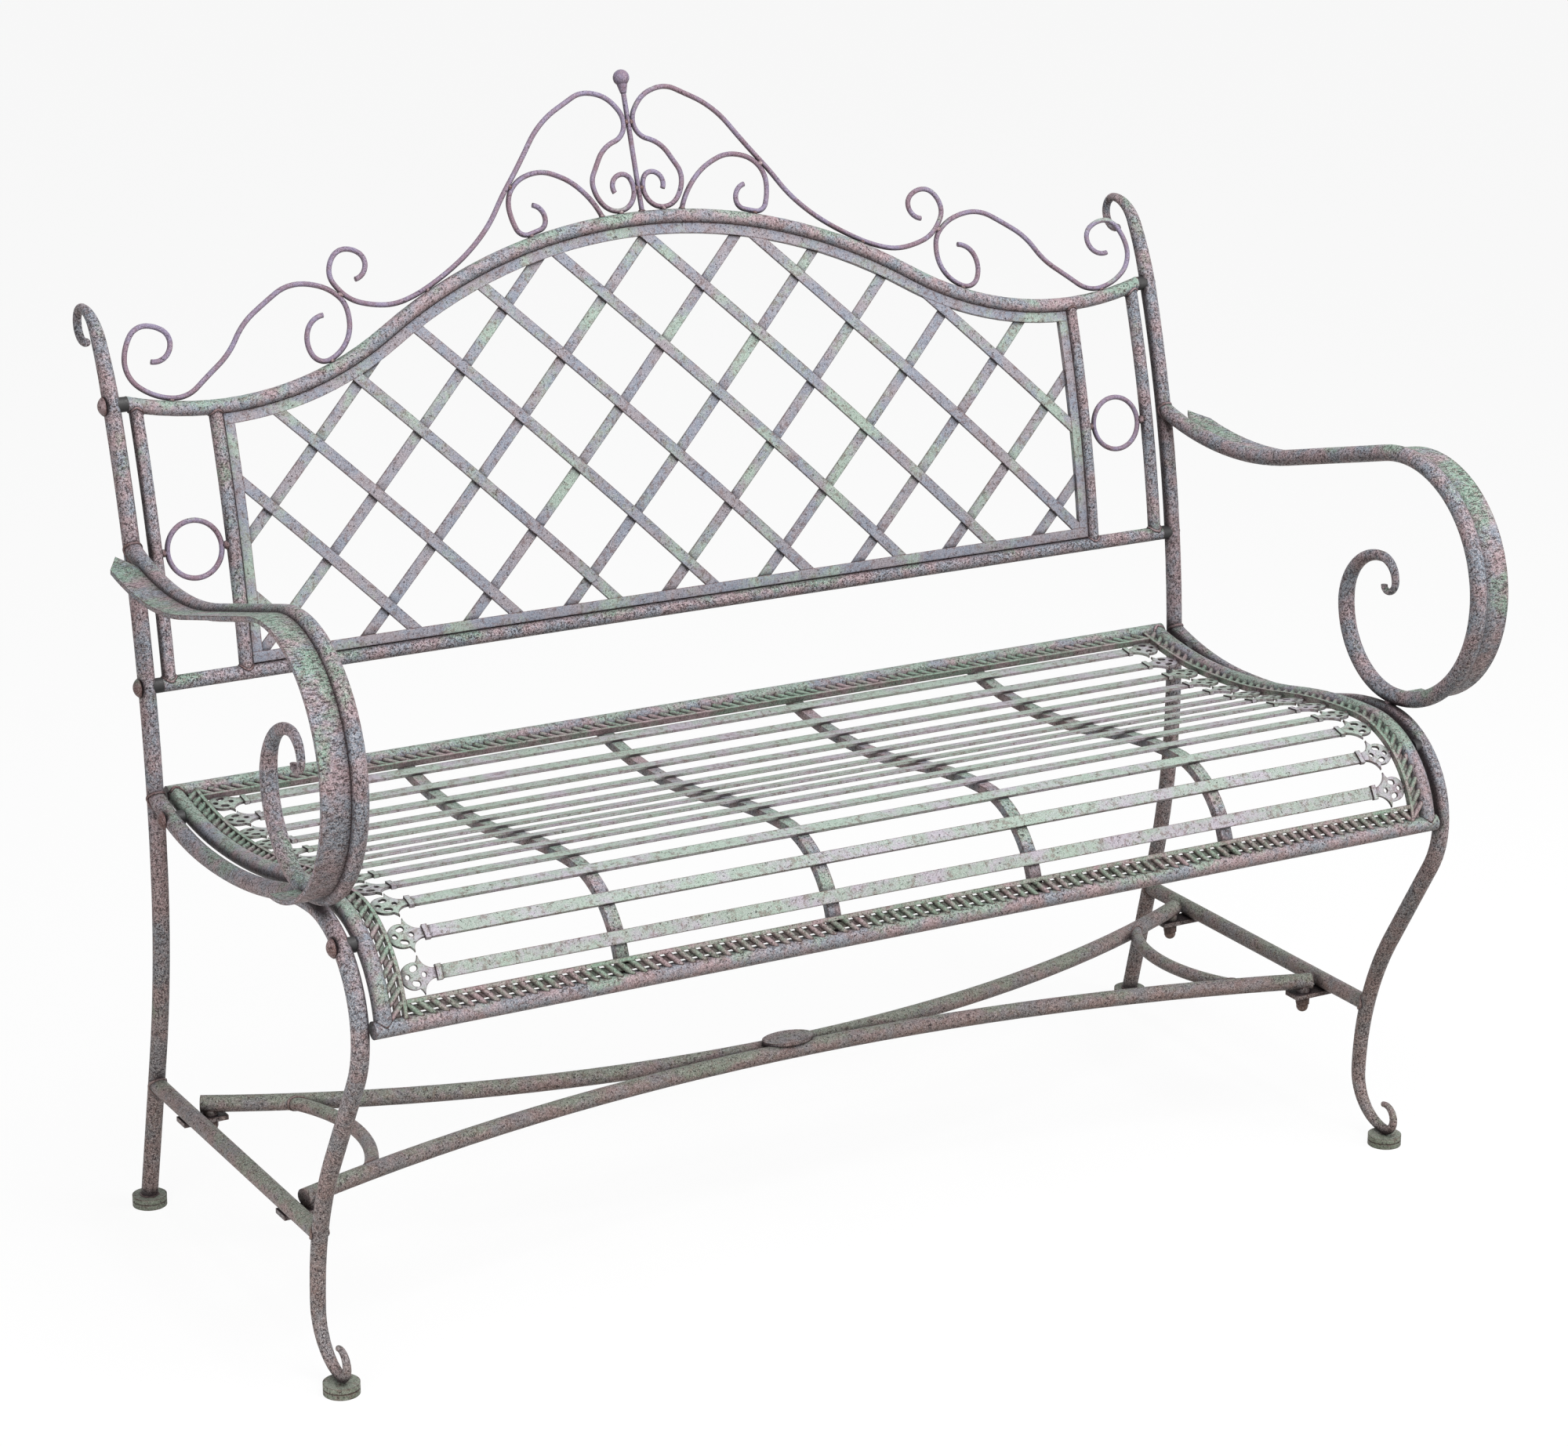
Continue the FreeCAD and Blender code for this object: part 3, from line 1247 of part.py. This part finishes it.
def bolt(length, domed):
    """Shank from the outside of the end frame's tube towards the middle of the bench, some with a domed head."""
    made = Part.makeCylinder(size("bolt_dia") / 2, length, Vector(0, 0, tube_r - length))
    if domed:
        head_r = size("head_dia") / 2
        rise = size("head_height")
        ball_r = (head_r ** 2 + rise ** 2) / (2 * rise)
        cap = Part.makeSphere(ball_r, Vector(0, 0, tube_r + rise - ball_r))
        head = cap.common(Part.makeCylinder(head_r, rise, Vector(0, 0, tube_r)))
        made = made.fuse(head).removeSplitter()
    return made


def spacer(gap):
    """Ring between the end frame's tube and what is bolted to it, let in round both."""
    ring = Part.makeCylinder(size("spacer_dia") / 2, gap + tube_r, Vector(0, 0, -tube_r - gap))
    return ring.cut(Part.makeCylinder(hole_dia / 2, gap + tube_r, Vector(0, 0, -tube_r - gap)))


back_bolt_length = size("tube_dia") + size("back_gap") + size("bolt_grip")
seat_bolt_length = size("tube_dia") + size("seat_gap") + size("tube_dia") / 2
bolts = {"L": [], "R": []}
spacers = []
for spots, length, gap in (
    ([Vector(y, z, 0) for y, z in back_bolts], back_bolt_length, size("back_gap")),
    ([front_bolt, rear_bolt], seat_bolt_length, size("seat_gap")),
):
    for spot in spots:
        for side, sign in SIDES:
            for made, group in ((bolt(length, side == "L"), bolts[side]), (spacer(gap), spacers)):
                made.translate(spot + Vector(0, 0, frame_x))
                group.append(made if sign > 0 else made.mirror(Vector(), Vector(0, 0, 1)))
for side, group in bolts.items():
    node(feature("bolts", Part.makeCompound(group)), f"frame_bolts_{side}", at_side(0))
spacer_group = feature("spacers", Part.makeCompound(spacers))
spacer_group.Placement = at_side(0)
held_tubes = [named(f"{name}_{side}") for name in ("rear_post", "front_leg", "seat_side_rail") for side, _ in SIDES]
node(cut("spacer_cut", spacer_group, *held_tubes), "frame_spacers")

# Check every object, then write one file for each sub-part

doc.recompute()
failed = [thing.Label for thing in doc.Objects if {"Invalid", "Error"} & set(thing.State)]
for thing in nodes:
    if thing.Shape.isNull() or not thing.Shape.isValid() or not thing.Shape.Solids:
        failed.append(thing.Label)
if failed:
    raise RuntimeError("failed: " + ", ".join(failed))

os.makedirs("parts", exist_ok=True)
for thing in nodes:
    thing.Shape.exportStep(f"parts/{thing.Label}.step")
    print(f"{thing.Label}: {len(thing.Shape.Solids)} solids, {thing.Shape.Volume / 1000:.1f} cm3")
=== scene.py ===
import json
import math

import bmesh
import bpy
import numpy as np
from mathutils import Matrix, Vector, noise
from mathutils.bvhtree import BVHTree


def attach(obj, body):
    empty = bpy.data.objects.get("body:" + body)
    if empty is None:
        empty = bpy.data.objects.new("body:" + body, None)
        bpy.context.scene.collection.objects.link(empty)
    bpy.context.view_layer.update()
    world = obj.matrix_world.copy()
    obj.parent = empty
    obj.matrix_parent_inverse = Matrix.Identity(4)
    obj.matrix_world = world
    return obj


# A garden bench of painted steel, in metres, in the frame of its solids.
# X runs along the seat, Y to the back, Z up.

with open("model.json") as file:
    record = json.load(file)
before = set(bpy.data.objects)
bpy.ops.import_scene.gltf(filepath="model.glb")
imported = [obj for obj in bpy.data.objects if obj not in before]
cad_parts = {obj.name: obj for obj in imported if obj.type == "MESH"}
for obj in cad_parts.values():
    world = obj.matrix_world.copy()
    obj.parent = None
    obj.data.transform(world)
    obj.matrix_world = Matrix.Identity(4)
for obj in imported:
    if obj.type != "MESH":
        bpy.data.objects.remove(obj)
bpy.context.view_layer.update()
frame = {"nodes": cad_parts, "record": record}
scene = bpy.context.scene
SIDES = ("L", "R")


# Colours, written as they look on a screen


def colour(red, green, blue):
    """Linear colour of an 8-bit screen colour."""
    def linear(value):
        share = value / 255
        return share / 12.92 if share <= 0.04045 else ((share + 0.055) / 1.055) ** 2.4

    return (linear(red), linear(green), linear(blue), 1.0)


MAUVE = colour(158, 137, 142)
BLUE_GREY = colour(130, 138, 150)
BROWN = colour(100, 74, 72)
SAGE = colour(150, 163, 155)
PALE_LILAC = colour(167, 161, 172)
PALE_GREEN = colour(152, 170, 158)
GREEN = colour(122, 152, 134)
GREEN_GREY = colour(136, 160, 146)
MOSS = colour(122, 144, 129)
LILAC = colour(132, 123, 147)
PLUM = colour(124, 102, 114)
SLATE = colour(132, 138, 152)
ASH = colour(146, 139, 146)
SOIL = colour(124, 107, 93)
DUST = colour(208, 200, 200)
# This dark colour marks real pits and specks, and is also the colour of the painted shade under things, in
# corners and in seams.
GRIME_AND_SHADE = colour(44, 35, 38)
DARK_GREEN = colour(46, 64, 52)


# Shader building


class Shader:
    """A material under construction: each method adds a node and gives back its result."""

    def __init__(self, name):
        self.material = bpy.data.materials.new(name)
        self.material.use_nodes = True
        self.tree = self.material.node_tree
        self.surface = self.tree.nodes["Principled BSDF"]
        self.place = self.add("ShaderNodeTexCoord").outputs["Object"]
        self.normal = self.add("ShaderNodeNewGeometry").outputs["Normal"]

    def add(self, kind):
        """A new node of a kind."""
        return self.tree.nodes.new(kind)

    def link(self, value, socket):
        """A node's result or a plain value into a socket."""
        if isinstance(value, bpy.types.NodeSocket):
            self.tree.links.new(value, socket)
        else:
            socket.default_value = value

    def set(self, **values):
        """Values of the surface's own sockets, by their names in words."""
        for name, value in values.items():
            self.link(value, self.surface.inputs[name.replace("_", " ").title().replace("Ior", "IOR")])

    def noise(self, scale, detail=2.0, roughness=0.5, place=None):
        """Cloudy pattern with about as many spots to the metre as its scale."""
        node = self.add("ShaderNodeTexNoise")
        self.link(place or self.place, node.inputs["Vector"])
        node.inputs["Scale"].default_value = scale
        node.inputs["Detail"].default_value = detail
        node.inputs["Roughness"].default_value = roughness
        return node.outputs["Fac"]

    def stretched(self, x, y, z):
        """Places drawn out by a factor along each axis."""
        node = self.add("ShaderNodeVectorMath")
        node.operation = "MULTIPLY"
        self.link(self.place, node.inputs[0])
        node.inputs[1].default_value = (x, y, z)
        return node.outputs["Vector"]

    def step(self, value, low, high, to_low=0.0, to_high=1.0):
        """Value carried smoothly from one range to another and held at the ends."""
        node = self.add("ShaderNodeMapRange")
        node.interpolation_type = "SMOOTHSTEP"
        self.link(value, node.inputs["Value"])
        node.inputs["From Min"].default_value = low
        node.inputs["From Max"].default_value = high
        node.inputs["To Min"].default_value = to_low
        node.inputs["To Max"].default_value = to_high
        return node.outputs["Result"]

    def math(self, operation, first, second):
        """Sum, product or the like of two values."""
        node = self.add("ShaderNodeMath")
        node.operation = operation
        self.link(first, node.inputs[0])
        self.link(second, node.inputs[1])
        return node.outputs[0]

    def mix(self, share, first, second):
        """Blend of two colours: the first at a share of 0, the second at 1."""
        node = self.add("ShaderNodeMix")
        node.data_type = "RGBA"
        self.link(share, node.inputs["Factor"])
        self.link(first, node.inputs["A"])
        self.link(second, node.inputs["B"])
        return node.outputs["Result"]

    def vertical(self, vector):
        """Part of a vector along Z."""
        node = self.add("ShaderNodeSeparateXYZ")
        self.link(vector, node.inputs["Vector"])
        return node.outputs["Z"]

    def upward(self):
        """How far the surface faces up, from -1 to 1."""
        return self.vertical(self.normal)

    def height(self):
        """Height over the floor."""
        return self.vertical(self.place)

    def rounded(self, radius):
        """Normal of the surface with its edges rounded."""
        node = self.add("ShaderNodeBevel")
        node.samples = 4
        node.inputs["Radius"].default_value = radius
        return node.outputs["Normal"]

    def edges(self, rounded):
        """1 along the edges of the piece, 0 on its faces."""
        node = self.add("ShaderNodeVectorMath")
        node.operation = "DOT_PRODUCT"
        self.link(rounded, node.inputs[0])
        self.link(self.normal, node.inputs[1])
        return self.step(node.outputs["Value"], 0.99, 0.86)

    def crevices(self, distance, open_share, deep_share):
        """1 deep in corners and under neighbours, 0 in the open."""
        node = self.add("ShaderNodeAmbientOcclusion")
        node.samples = 6
        node.inputs["Distance"].default_value = distance
        return self.step(node.outputs["AO"], open_share, deep_share)


# Paints and finishes

# Spots to the metre in the patterns of the paint
GRAIN_SCALE = 900
PIT_SCALE = 430
MOTTLE_SCALE = 170
TONE_SCALE = 34
PATINA_SCALE = 18

# Heights in metres where the soil on the paint starts and where it is thickest
SOIL_TOP = 0.5
SOIL_FULL = 0.1

# Lengths in metres: rounding of worn edges, reach of painted shade into corners and seams, depth of the
# relief
EDGE_ROUNDING = 0.0016
CORNER_REACH = 0.03
SEAM_REACH = 0.012
RELIEF_DEPTH = 0.0006


def aged_paint(
    name, base, second, patina=0.3, patina_colour=PALE_GREEN, worn=BROWN, specks=0.5, painted_shade=1.0, dents=None,
):
    """Rubbed garden paint on steel.

    Two tones lie in soft patches, with patina on top where the surface faces up and soil near the ground.
    Dark specks and pits cover it all and the edges are worn to an undercoat. Painted shade darkens the
    corners, the seams between parts and the faces that turn down. Patina and specks say how much of each
    there is, the argument after specks sets how dark the painted shade in corners and seams is, and dents
    draws the pits out.
    """
    shader = Shader(name)
    grain = shader.noise(GRAIN_SCALE, 3, 0.65)
    mottle = shader.noise(MOTTLE_SCALE, 4, 0.7)
    upward = shader.upward()

    tone = shader.mix(shader.step(shader.noise(TONE_SCALE, 6, 0.66), 0.38, 0.62), base, second)
    cover = shader.math("ADD", shader.noise(PATINA_SCALE, 6, 0.66), shader.math("MULTIPLY", mottle, 0.25))
    cover = shader.math("ADD", cover, shader.math("MULTIPLY", upward, 0.12))
    edge = 0.86 - 0.42 * patina
    cover = shader.step(cover, edge, edge + 0.16, 0.0, 0.9)
    tone = shader.mix(cover, tone, patina_colour)
    tone = shader.mix(shader.step(mottle, 0.5, 0.64, 0.0, 0.58), tone, worn)
    tone = shader.mix(shader.step(shader.height(), SOIL_TOP, SOIL_FULL, 0.0, 0.45), tone, SOIL)
    # Painted shade: faces that turn down are darkened toward the dark grime colour, as if in shadow.
    tone = shader.mix(shader.step(upward, 0.2, -0.9, 0.0, 0.4), tone, GRIME_AND_SHADE)

    pits = shader.noise(PIT_SCALE, 3, 0.7, dents and shader.stretched(*dents))
    depth = shader.step(pits, 0.62 - 0.1 * specks, 0.7 - 0.08 * specks)
    tone = shader.mix(shader.math("MULTIPLY", depth, 0.85), tone, GRIME_AND_SHADE)
    speckle = 0.22 + 0.33 * specks
    tone = shader.mix(shader.step(grain, 0.5, 0.66, 0.0, speckle), tone, GRIME_AND_SHADE)
    tone = shader.mix(shader.step(grain, 0.5, 0.34, 0.0, 0.9 * speckle), tone, DUST)

    rounded = shader.rounded(EDGE_ROUNDING)
    rubbed = shader.math("MULTIPLY", shader.edges(rounded), shader.step(mottle, 0.3, 0.55, 0.4, 0.95))
    tone = shader.mix(rubbed, tone, worn)
    shade = shader.crevices(CORNER_REACH, 0.85, 0.3)
    seam_shade = shader.crevices(SEAM_REACH, 0.97, 0.75)
    corner_shade_colour = shader.mix(shader.step(mottle, 0.45, 0.6), GRIME_AND_SHADE, DARK_GREEN)
    # Painted shade in corners and under close neighbours, toward a dark green-grey.
    tone = shader.mix(shader.math("MULTIPLY", shade, 0.7 * painted_shade), tone, corner_shade_colour)
    # Painted shade: a thin dark line along each seam between parts, where the groove would lie in shadow.
    tone = shader.mix(shader.math("MULTIPLY", seam_shade, 0.88 * painted_shade), tone, GRIME_AND_SHADE)

    gloss = shader.math("ADD", shader.step(grain, 0.3, 0.7, 0.33, 0.52), shader.math("MULTIPLY", depth, 0.2))
    bump = shader.add("ShaderNodeBump")
    bump.inputs["Strength"].default_value = 0.8
    bump.inputs["Distance"].default_value = RELIEF_DEPTH
    relief = shader.math("ADD", grain, shader.math("MULTIPLY", mottle, 1.2))
    shader.link(shader.math("SUBTRACT", relief, depth), bump.inputs["Height"])
    shader.link(rounded, bump.inputs["Normal"])
    shader.set(base_color=tone, roughness=gloss, specular_ior_level=0.14, normal=bump.outputs["Normal"])
    return shader.material


def black_plastic(name):
    """Moulded spacer: nearly black, with a fine grain."""
    shader = Shader(name)
    grain = shader.noise(GRAIN_SCALE, 2)
    shader.set(
        base_color=shader.mix(grain, colour(20, 19, 20), colour(36, 35, 36)),
        roughness=shader.step(grain, 0.3, 0.7, 0.5, 0.7),
    )
    return shader.material


# Strokes of the hammer lie across the strips, along X
HAMMERED = (0.45, 1.2, 1.2)

# Where a paint sets how dark its corners and seams get, that value scales the painted shade there.
PAINTS = {
    "tube_paint": dict(base=MAUVE, second=BLUE_GREY, patina=0.36, patina_colour=GREEN, specks=1.2),
    "level_tube": dict(
        base=MAUVE, second=BLUE_GREY, patina=0.52, patina_colour=GREEN_GREY, specks=0.8, painted_shade=0.5,
    ),
    "slat_paint": dict(base=SAGE, second=PALE_LILAC, patina=0.5, specks=0.2),
    "strip_paint": dict(
        base=MAUVE, second=BLUE_GREY, patina=0.48, patina_colour=GREEN, specks=1.2, dents=HAMMERED,
    ),
    "border_paint": dict(base=MOSS, second=MAUVE, patina=0.5, patina_colour=GREEN, specks=0.5, painted_shade=0.5),
    "crest_paint": dict(base=LILAC, second=PLUM, patina=0.2, worn=PLUM, specks=0.15, painted_shade=0.7),
    "lattice_paint": dict(base=SLATE, second=ASH, patina=0.52, specks=0.3, painted_shade=0.6),
    "foot_paint": dict(base=GREEN, second=GREEN_GREY, patina=0.5, specks=0.6, painted_shade=0.2),
    "bolt_paint": dict(base=BROWN, second=MAUVE, patina=0.3, patina_colour=GREEN, specks=0.5),
}
FINISHES = {name: aged_paint(name, **paint) for name, paint in PAINTS.items()}
FINISHES["spacer_black"] = black_plastic("spacer_black")
WELD = aged_paint("weld_paint", BROWN, MAUVE, patina=0.15, specks=0.5)

# Tubes and bars that lie level hold more patina than the upright tubes
LEVEL = (
    "seat_front_rail", "seat_rear_rail", "seat_side_rail_L", "seat_side_rail_R", "seat_bearers",
    "back_top_rail", "lower_rail_L", "lower_rail_R", "stretcher_front", "stretcher_rear",
    "stretcher_brace_L", "stretcher_brace_R", "stretcher_bosses",
)

for part in frame["record"]["subparts"]:
    finish = "level_tube" if part["node"] in LEVEL else part["material_slot"]
    thing = frame["nodes"][part["node"]]
    thing.data.materials.clear()
    thing.data.materials.append(FINISHES[finish])


# Welds: beads round the ends of tubes, lumps where rods and small pieces touch

RIM_STEPS = 28
BEAD_SIDES = 8

# How far a weld swells, as a share of its radius, and how closely its swellings follow each other
BEAD_SWELL = 0.4
BEAD_RIPPLE = 350.0
LUMP_SWELL = 0.3
LUMP_RIPPLE = 260.0
LUMP_DIFFERENCE = 70.0


def surface(node):
    """Search tree of a solid's faces."""
    mesh = frame["nodes"][node].data
    corners = [corner.co for corner in mesh.vertices]
    faces = [list(face.vertices) for face in mesh.polygons]
    return BVHTree.FromPolygons(corners, faces)


def joints(branch, main, reach=0.0004, span=0.009):
    """Corners of one solid that lie on another, in one group for each joint."""
    tree = surface(main)
    groups = []
    for corner in frame["nodes"][branch].data.vertices:
        if tree.find_nearest(corner.co, reach)[0] is None:
            continue
        near = [group for group in groups if any((corner.co - other).length < span for other in group)]
        groups = [group for group in groups if group not in near]
        groups.append(sum(near, [corner.co.copy()]))
    return groups


def middle(places):
    """Mean of some places."""
    return sum(places, Vector()) / len(places)


def rim(corners):
    """Outer rim of a joint, as places in order round it."""
    points = np.array([tuple(corner) for corner in corners])
    offsets = points - points.mean(axis=0)
    across, along = np.linalg.svd(offsets, full_matrices=False)[2][:2]
    flat = np.stack((offsets @ across, offsets @ along))
    reach = np.hypot(*flat)
    sector = ((np.arctan2(flat[1], flat[0]) / math.tau + 0.5) * RIM_STEPS).astype(int) % RIM_STEPS
    ring = []
    for k in range(RIM_STEPS):
        inside = sector == k
        if inside.any():
            ring.append(points[inside][reach[inside].argmax()])
    ring = np.array(ring)
    smooth = (np.roll(ring, 1, axis=0) + 2 * ring + np.roll(ring, -1, axis=0)) / 4
    return [Vector(point) for point in smooth]


def bead(mesh, corners, radius):
    """Uneven weld bead along the rim of a joint."""
    ring = rim(corners)
    centre = middle(ring)
    loops = []
    for k, place in enumerate(ring):
        ahead = (ring[(k + 1) % len(ring)] - ring[k - 1]).normalized()
        out = (place - centre).normalized()
        up = ahead.cross(out).normalized()
        swell = radius * (1.0 + BEAD_SWELL * noise.noise(place * BEAD_RIPPLE))
        turns = [math.tau * side / BEAD_SIDES for side in range(BEAD_SIDES)]
        loops.append([mesh.verts.new(place + swell * (math.cos(a) * out + math.sin(a) * up)) for a in turns])
    for k, loop in enumerate(loops):
        before = loops[k - 1]
        for side in range(BEAD_SIDES):
            mesh.faces.new((before[side - 1], before[side], loop[side], loop[side - 1]))


def lump(mesh, corners, radius):
    """Uneven drop of weld over a small joint."""
    place = middle(corners)
    ball = bmesh.ops.create_icosphere(mesh, subdivisions=3, radius=radius)
    for corner in ball["verts"]:
        swell = 1.0 + LUMP_SWELL * noise.noise(corner.co * LUMP_RIPPLE + place * LUMP_DIFFERENCE)
        corner.co = place + corner.co * swell


def weld(name, shape, radius, pairs):
    """One piece for all welds of a kind, at each joint of each pair of solids."""
    mesh = bmesh.new()
    for branch, main in pairs:
        for corners in joints(branch, main):
            shape(mesh, corners, radius)
    bmesh.ops.recalc_face_normals(mesh, faces=mesh.faces)
    for face in mesh.faces:
        face.smooth = True
    data = bpy.data.meshes.new(name)
    mesh.to_mesh(data)
    mesh.free()
    data.materials.append(WELD)
    piece = bpy.data.objects.new(name, data)
    scene.collection.objects.link(piece)
    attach(piece, "root")


def both_sides(*pairs):
    """Pairs of solids on the left and on the right."""
    return [(branch.format(side), main.format(side)) for side in SIDES for branch, main in pairs]


weld("frame_welds", bead, 0.0018, both_sides(
    ("arm_scroll_{}", "rear_post_{}"),
    ("front_leg_{}", "rear_post_{}"),
    ("lower_rail_{}", "rear_post_{}"),
    ("lower_rail_{}", "front_leg_{}"),
    ("seat_side_rail_{}", "seat_rear_rail"),
))
weld("foot_welds", bead, 0.0014, both_sides(
    ("front_leg_{}", "front_foot_{}"),
    ("rear_post_{}", "rear_foot_{}"),
))
weld("back_welds", bead, 0.0014, both_sides(
    ("back_inner_stile_{}", "back_top_rail"),
    ("back_outer_stile_{}", "back_top_rail"),
    ("back_inner_stile_{}", "back_bottom_rail"),
    ("back_outer_stile_{}", "back_bottom_rail"),
))
weld("stretcher_welds", bead, 0.0014, both_sides(
    ("stretcher_brace_{}", "stretcher_front"),
    ("stretcher_brace_{}", "stretcher_rear"),
))
weld("ring_welds", lump, 0.0042, both_sides(
    ("side_ring_{}", "back_inner_stile_{}"),
    ("side_ring_{}", "back_outer_stile_{}"),
))
weld("scroll_welds", lump, 0.0032, both_sides(
    ("crest_scroll_{}", "back_top_rail"),
    ("small_scroll_{}", "back_top_rail"),
    ("end_scroll_{}", "back_top_rail"),
    ("crest_scroll_{}", "small_scroll_{}"),
    ("end_scroll_{}", "crest_scroll_{}"),
    ("crest_scroll_{}", "finial_rod"),
))
weld("spike_weld", bead, 0.0012, [("finial_rod", "back_top_rail")])
weld("arm_foot_welds", lump, 0.0055, both_sides(("arm_scroll_{}", "front_leg_{}")))
weld("palmette_welds", lump, 0.0024, both_sides(("slat_ends", "seat_border_{}")))


# Studio: pale floor, white surround and soft light


def seen_directly(shader_tree):
    """1 for rays from the camera, in reflections and through glass, 0 for light on the bench."""
    rays = shader_tree.nodes.new("ShaderNodeLightPath")
    seen = rays.outputs["Is Camera Ray"]
    for name in ("Is Glossy Ray", "Is Transmission Ray"):
        larger = shader_tree.nodes.new("ShaderNodeMath")
        larger.operation = "MAXIMUM"
        shader_tree.links.new(seen, larger.inputs[0])
        shader_tree.links.new(rays.outputs[name], larger.inputs[1])
        seen = larger.outputs[0]
    return seen


# Share of the floor that shows plain white, half its width, its two pale tones, and its colour as a reflector
FLOOR_WHITE = 0.92
FLOOR_HALF = 60.0
FLOOR_TONES = (colour(247, 247, 247), colour(253, 253, 253))
FLOOR_BOUNCE = colour(186, 180, 166)


def floor_material():
    """Pale floor that shows white and keeps the bench's shadow."""
    shader = Shader("floor")
    seen = seen_directly(shader.tree)
    tint = shader.mix(shader.noise(1.5, 3), *FLOOR_TONES)
    shader.set(base_color=shader.mix(seen, FLOOR_BOUNCE, tint), roughness=0.9, specular_ior_level=0.1)
    glow = shader.add("ShaderNodeEmission")
    blend = shader.add("ShaderNodeMixShader")
    shader.link(shader.math("MULTIPLY", seen, FLOOR_WHITE), blend.inputs["Fac"])
    shader.link(shader.surface.outputs["BSDF"], blend.inputs[1])
    shader.link(glow.outputs["Emission"], blend.inputs[2])
    shader.link(blend.outputs["Shader"], shader.tree.nodes["Material Output"].inputs["Surface"])
    return shader.material


floor_mesh = bpy.data.meshes.new("floor")
corners = [(x * FLOOR_HALF, y * FLOOR_HALF, 0.0) for x, y in ((-1, -1), (1, -1), (1, 1), (-1, 1))]
floor_mesh.from_pydata(corners, [], [(0, 1, 2, 3)])
floor_mesh.materials.append(floor_material())
floor = bpy.data.objects.new("floor", floor_mesh)
scene.collection.objects.link(floor)

# Strength of the surround as light on the bench
SURROUND_LIGHT = 0.1

world = bpy.data.worlds.new("surround")
world.use_nodes = True
scene.world = world
level = world.node_tree.nodes.new("ShaderNodeMapRange")
level.inputs["To Min"].default_value = SURROUND_LIGHT
level.inputs["To Max"].default_value = 1.0
world.node_tree.links.new(seen_directly(world.node_tree), level.inputs["Value"])
background = world.node_tree.nodes["Background"]
background.inputs["Color"].default_value = (1.0, 1.0, 1.0, 1.0)
world.node_tree.links.new(level.outputs["Result"], background.inputs["Strength"])


def soft_box(name, place, target, size, power):
    """A large square lamp that faces a point."""
    lamp = bpy.data.lights.new(name, "AREA")
    lamp.shape = "SQUARE"
    lamp.size = size
    lamp.energy = power
    box = bpy.data.objects.new(name, lamp)
    box.location = place
    box.rotation_euler = (Vector(target) - Vector(place)).to_track_quat("-Z", "Y").to_euler()
    scene.collection.objects.link(box)


MIDDLE = (0.0, 0.0, 0.5)
soft_box("left_light", (-1.6, -0.9, 0.45), (-0.55, 0.0, 0.15), 0.8, 14)
soft_box("right_light", (1.7, -1.6, 1.2), MIDDLE, 1.5, 29)
soft_box("top_light", (0.1, -1.2, 3.3), MIDDLE, 2.2, 135)


# Camera at the photograph's viewing angle

AZIMUTH = math.radians(-29.3637)
ELEVATION = math.radians(17.7681)
ROLL = math.radians(0.187)
DISTANCE = 4.1822
TARGET = Vector((0.0603, 0.1021, 0.4290))

lens = bpy.data.cameras.new("camera")
lens.lens = 98.6
lens.sensor_width = 36.0
lens.shift_x = 0.000635
lens.shift_y = -0.0024
camera = bpy.data.objects.new("camera", lens)
backward = Vector((
    math.sin(AZIMUTH) * math.cos(ELEVATION),
    -math.cos(AZIMUTH) * math.cos(ELEVATION),
    math.sin(ELEVATION),
))
camera.location = TARGET + backward * DISTANCE
turn = (-backward).to_track_quat("-Z", "Y").to_matrix() @ Matrix.Rotation(ROLL, 3, "Z")
camera.rotation_euler = turn.to_euler()
scene.collection.objects.link(camera)
scene.camera = camera
scene.view_settings.view_transform = "Standard"
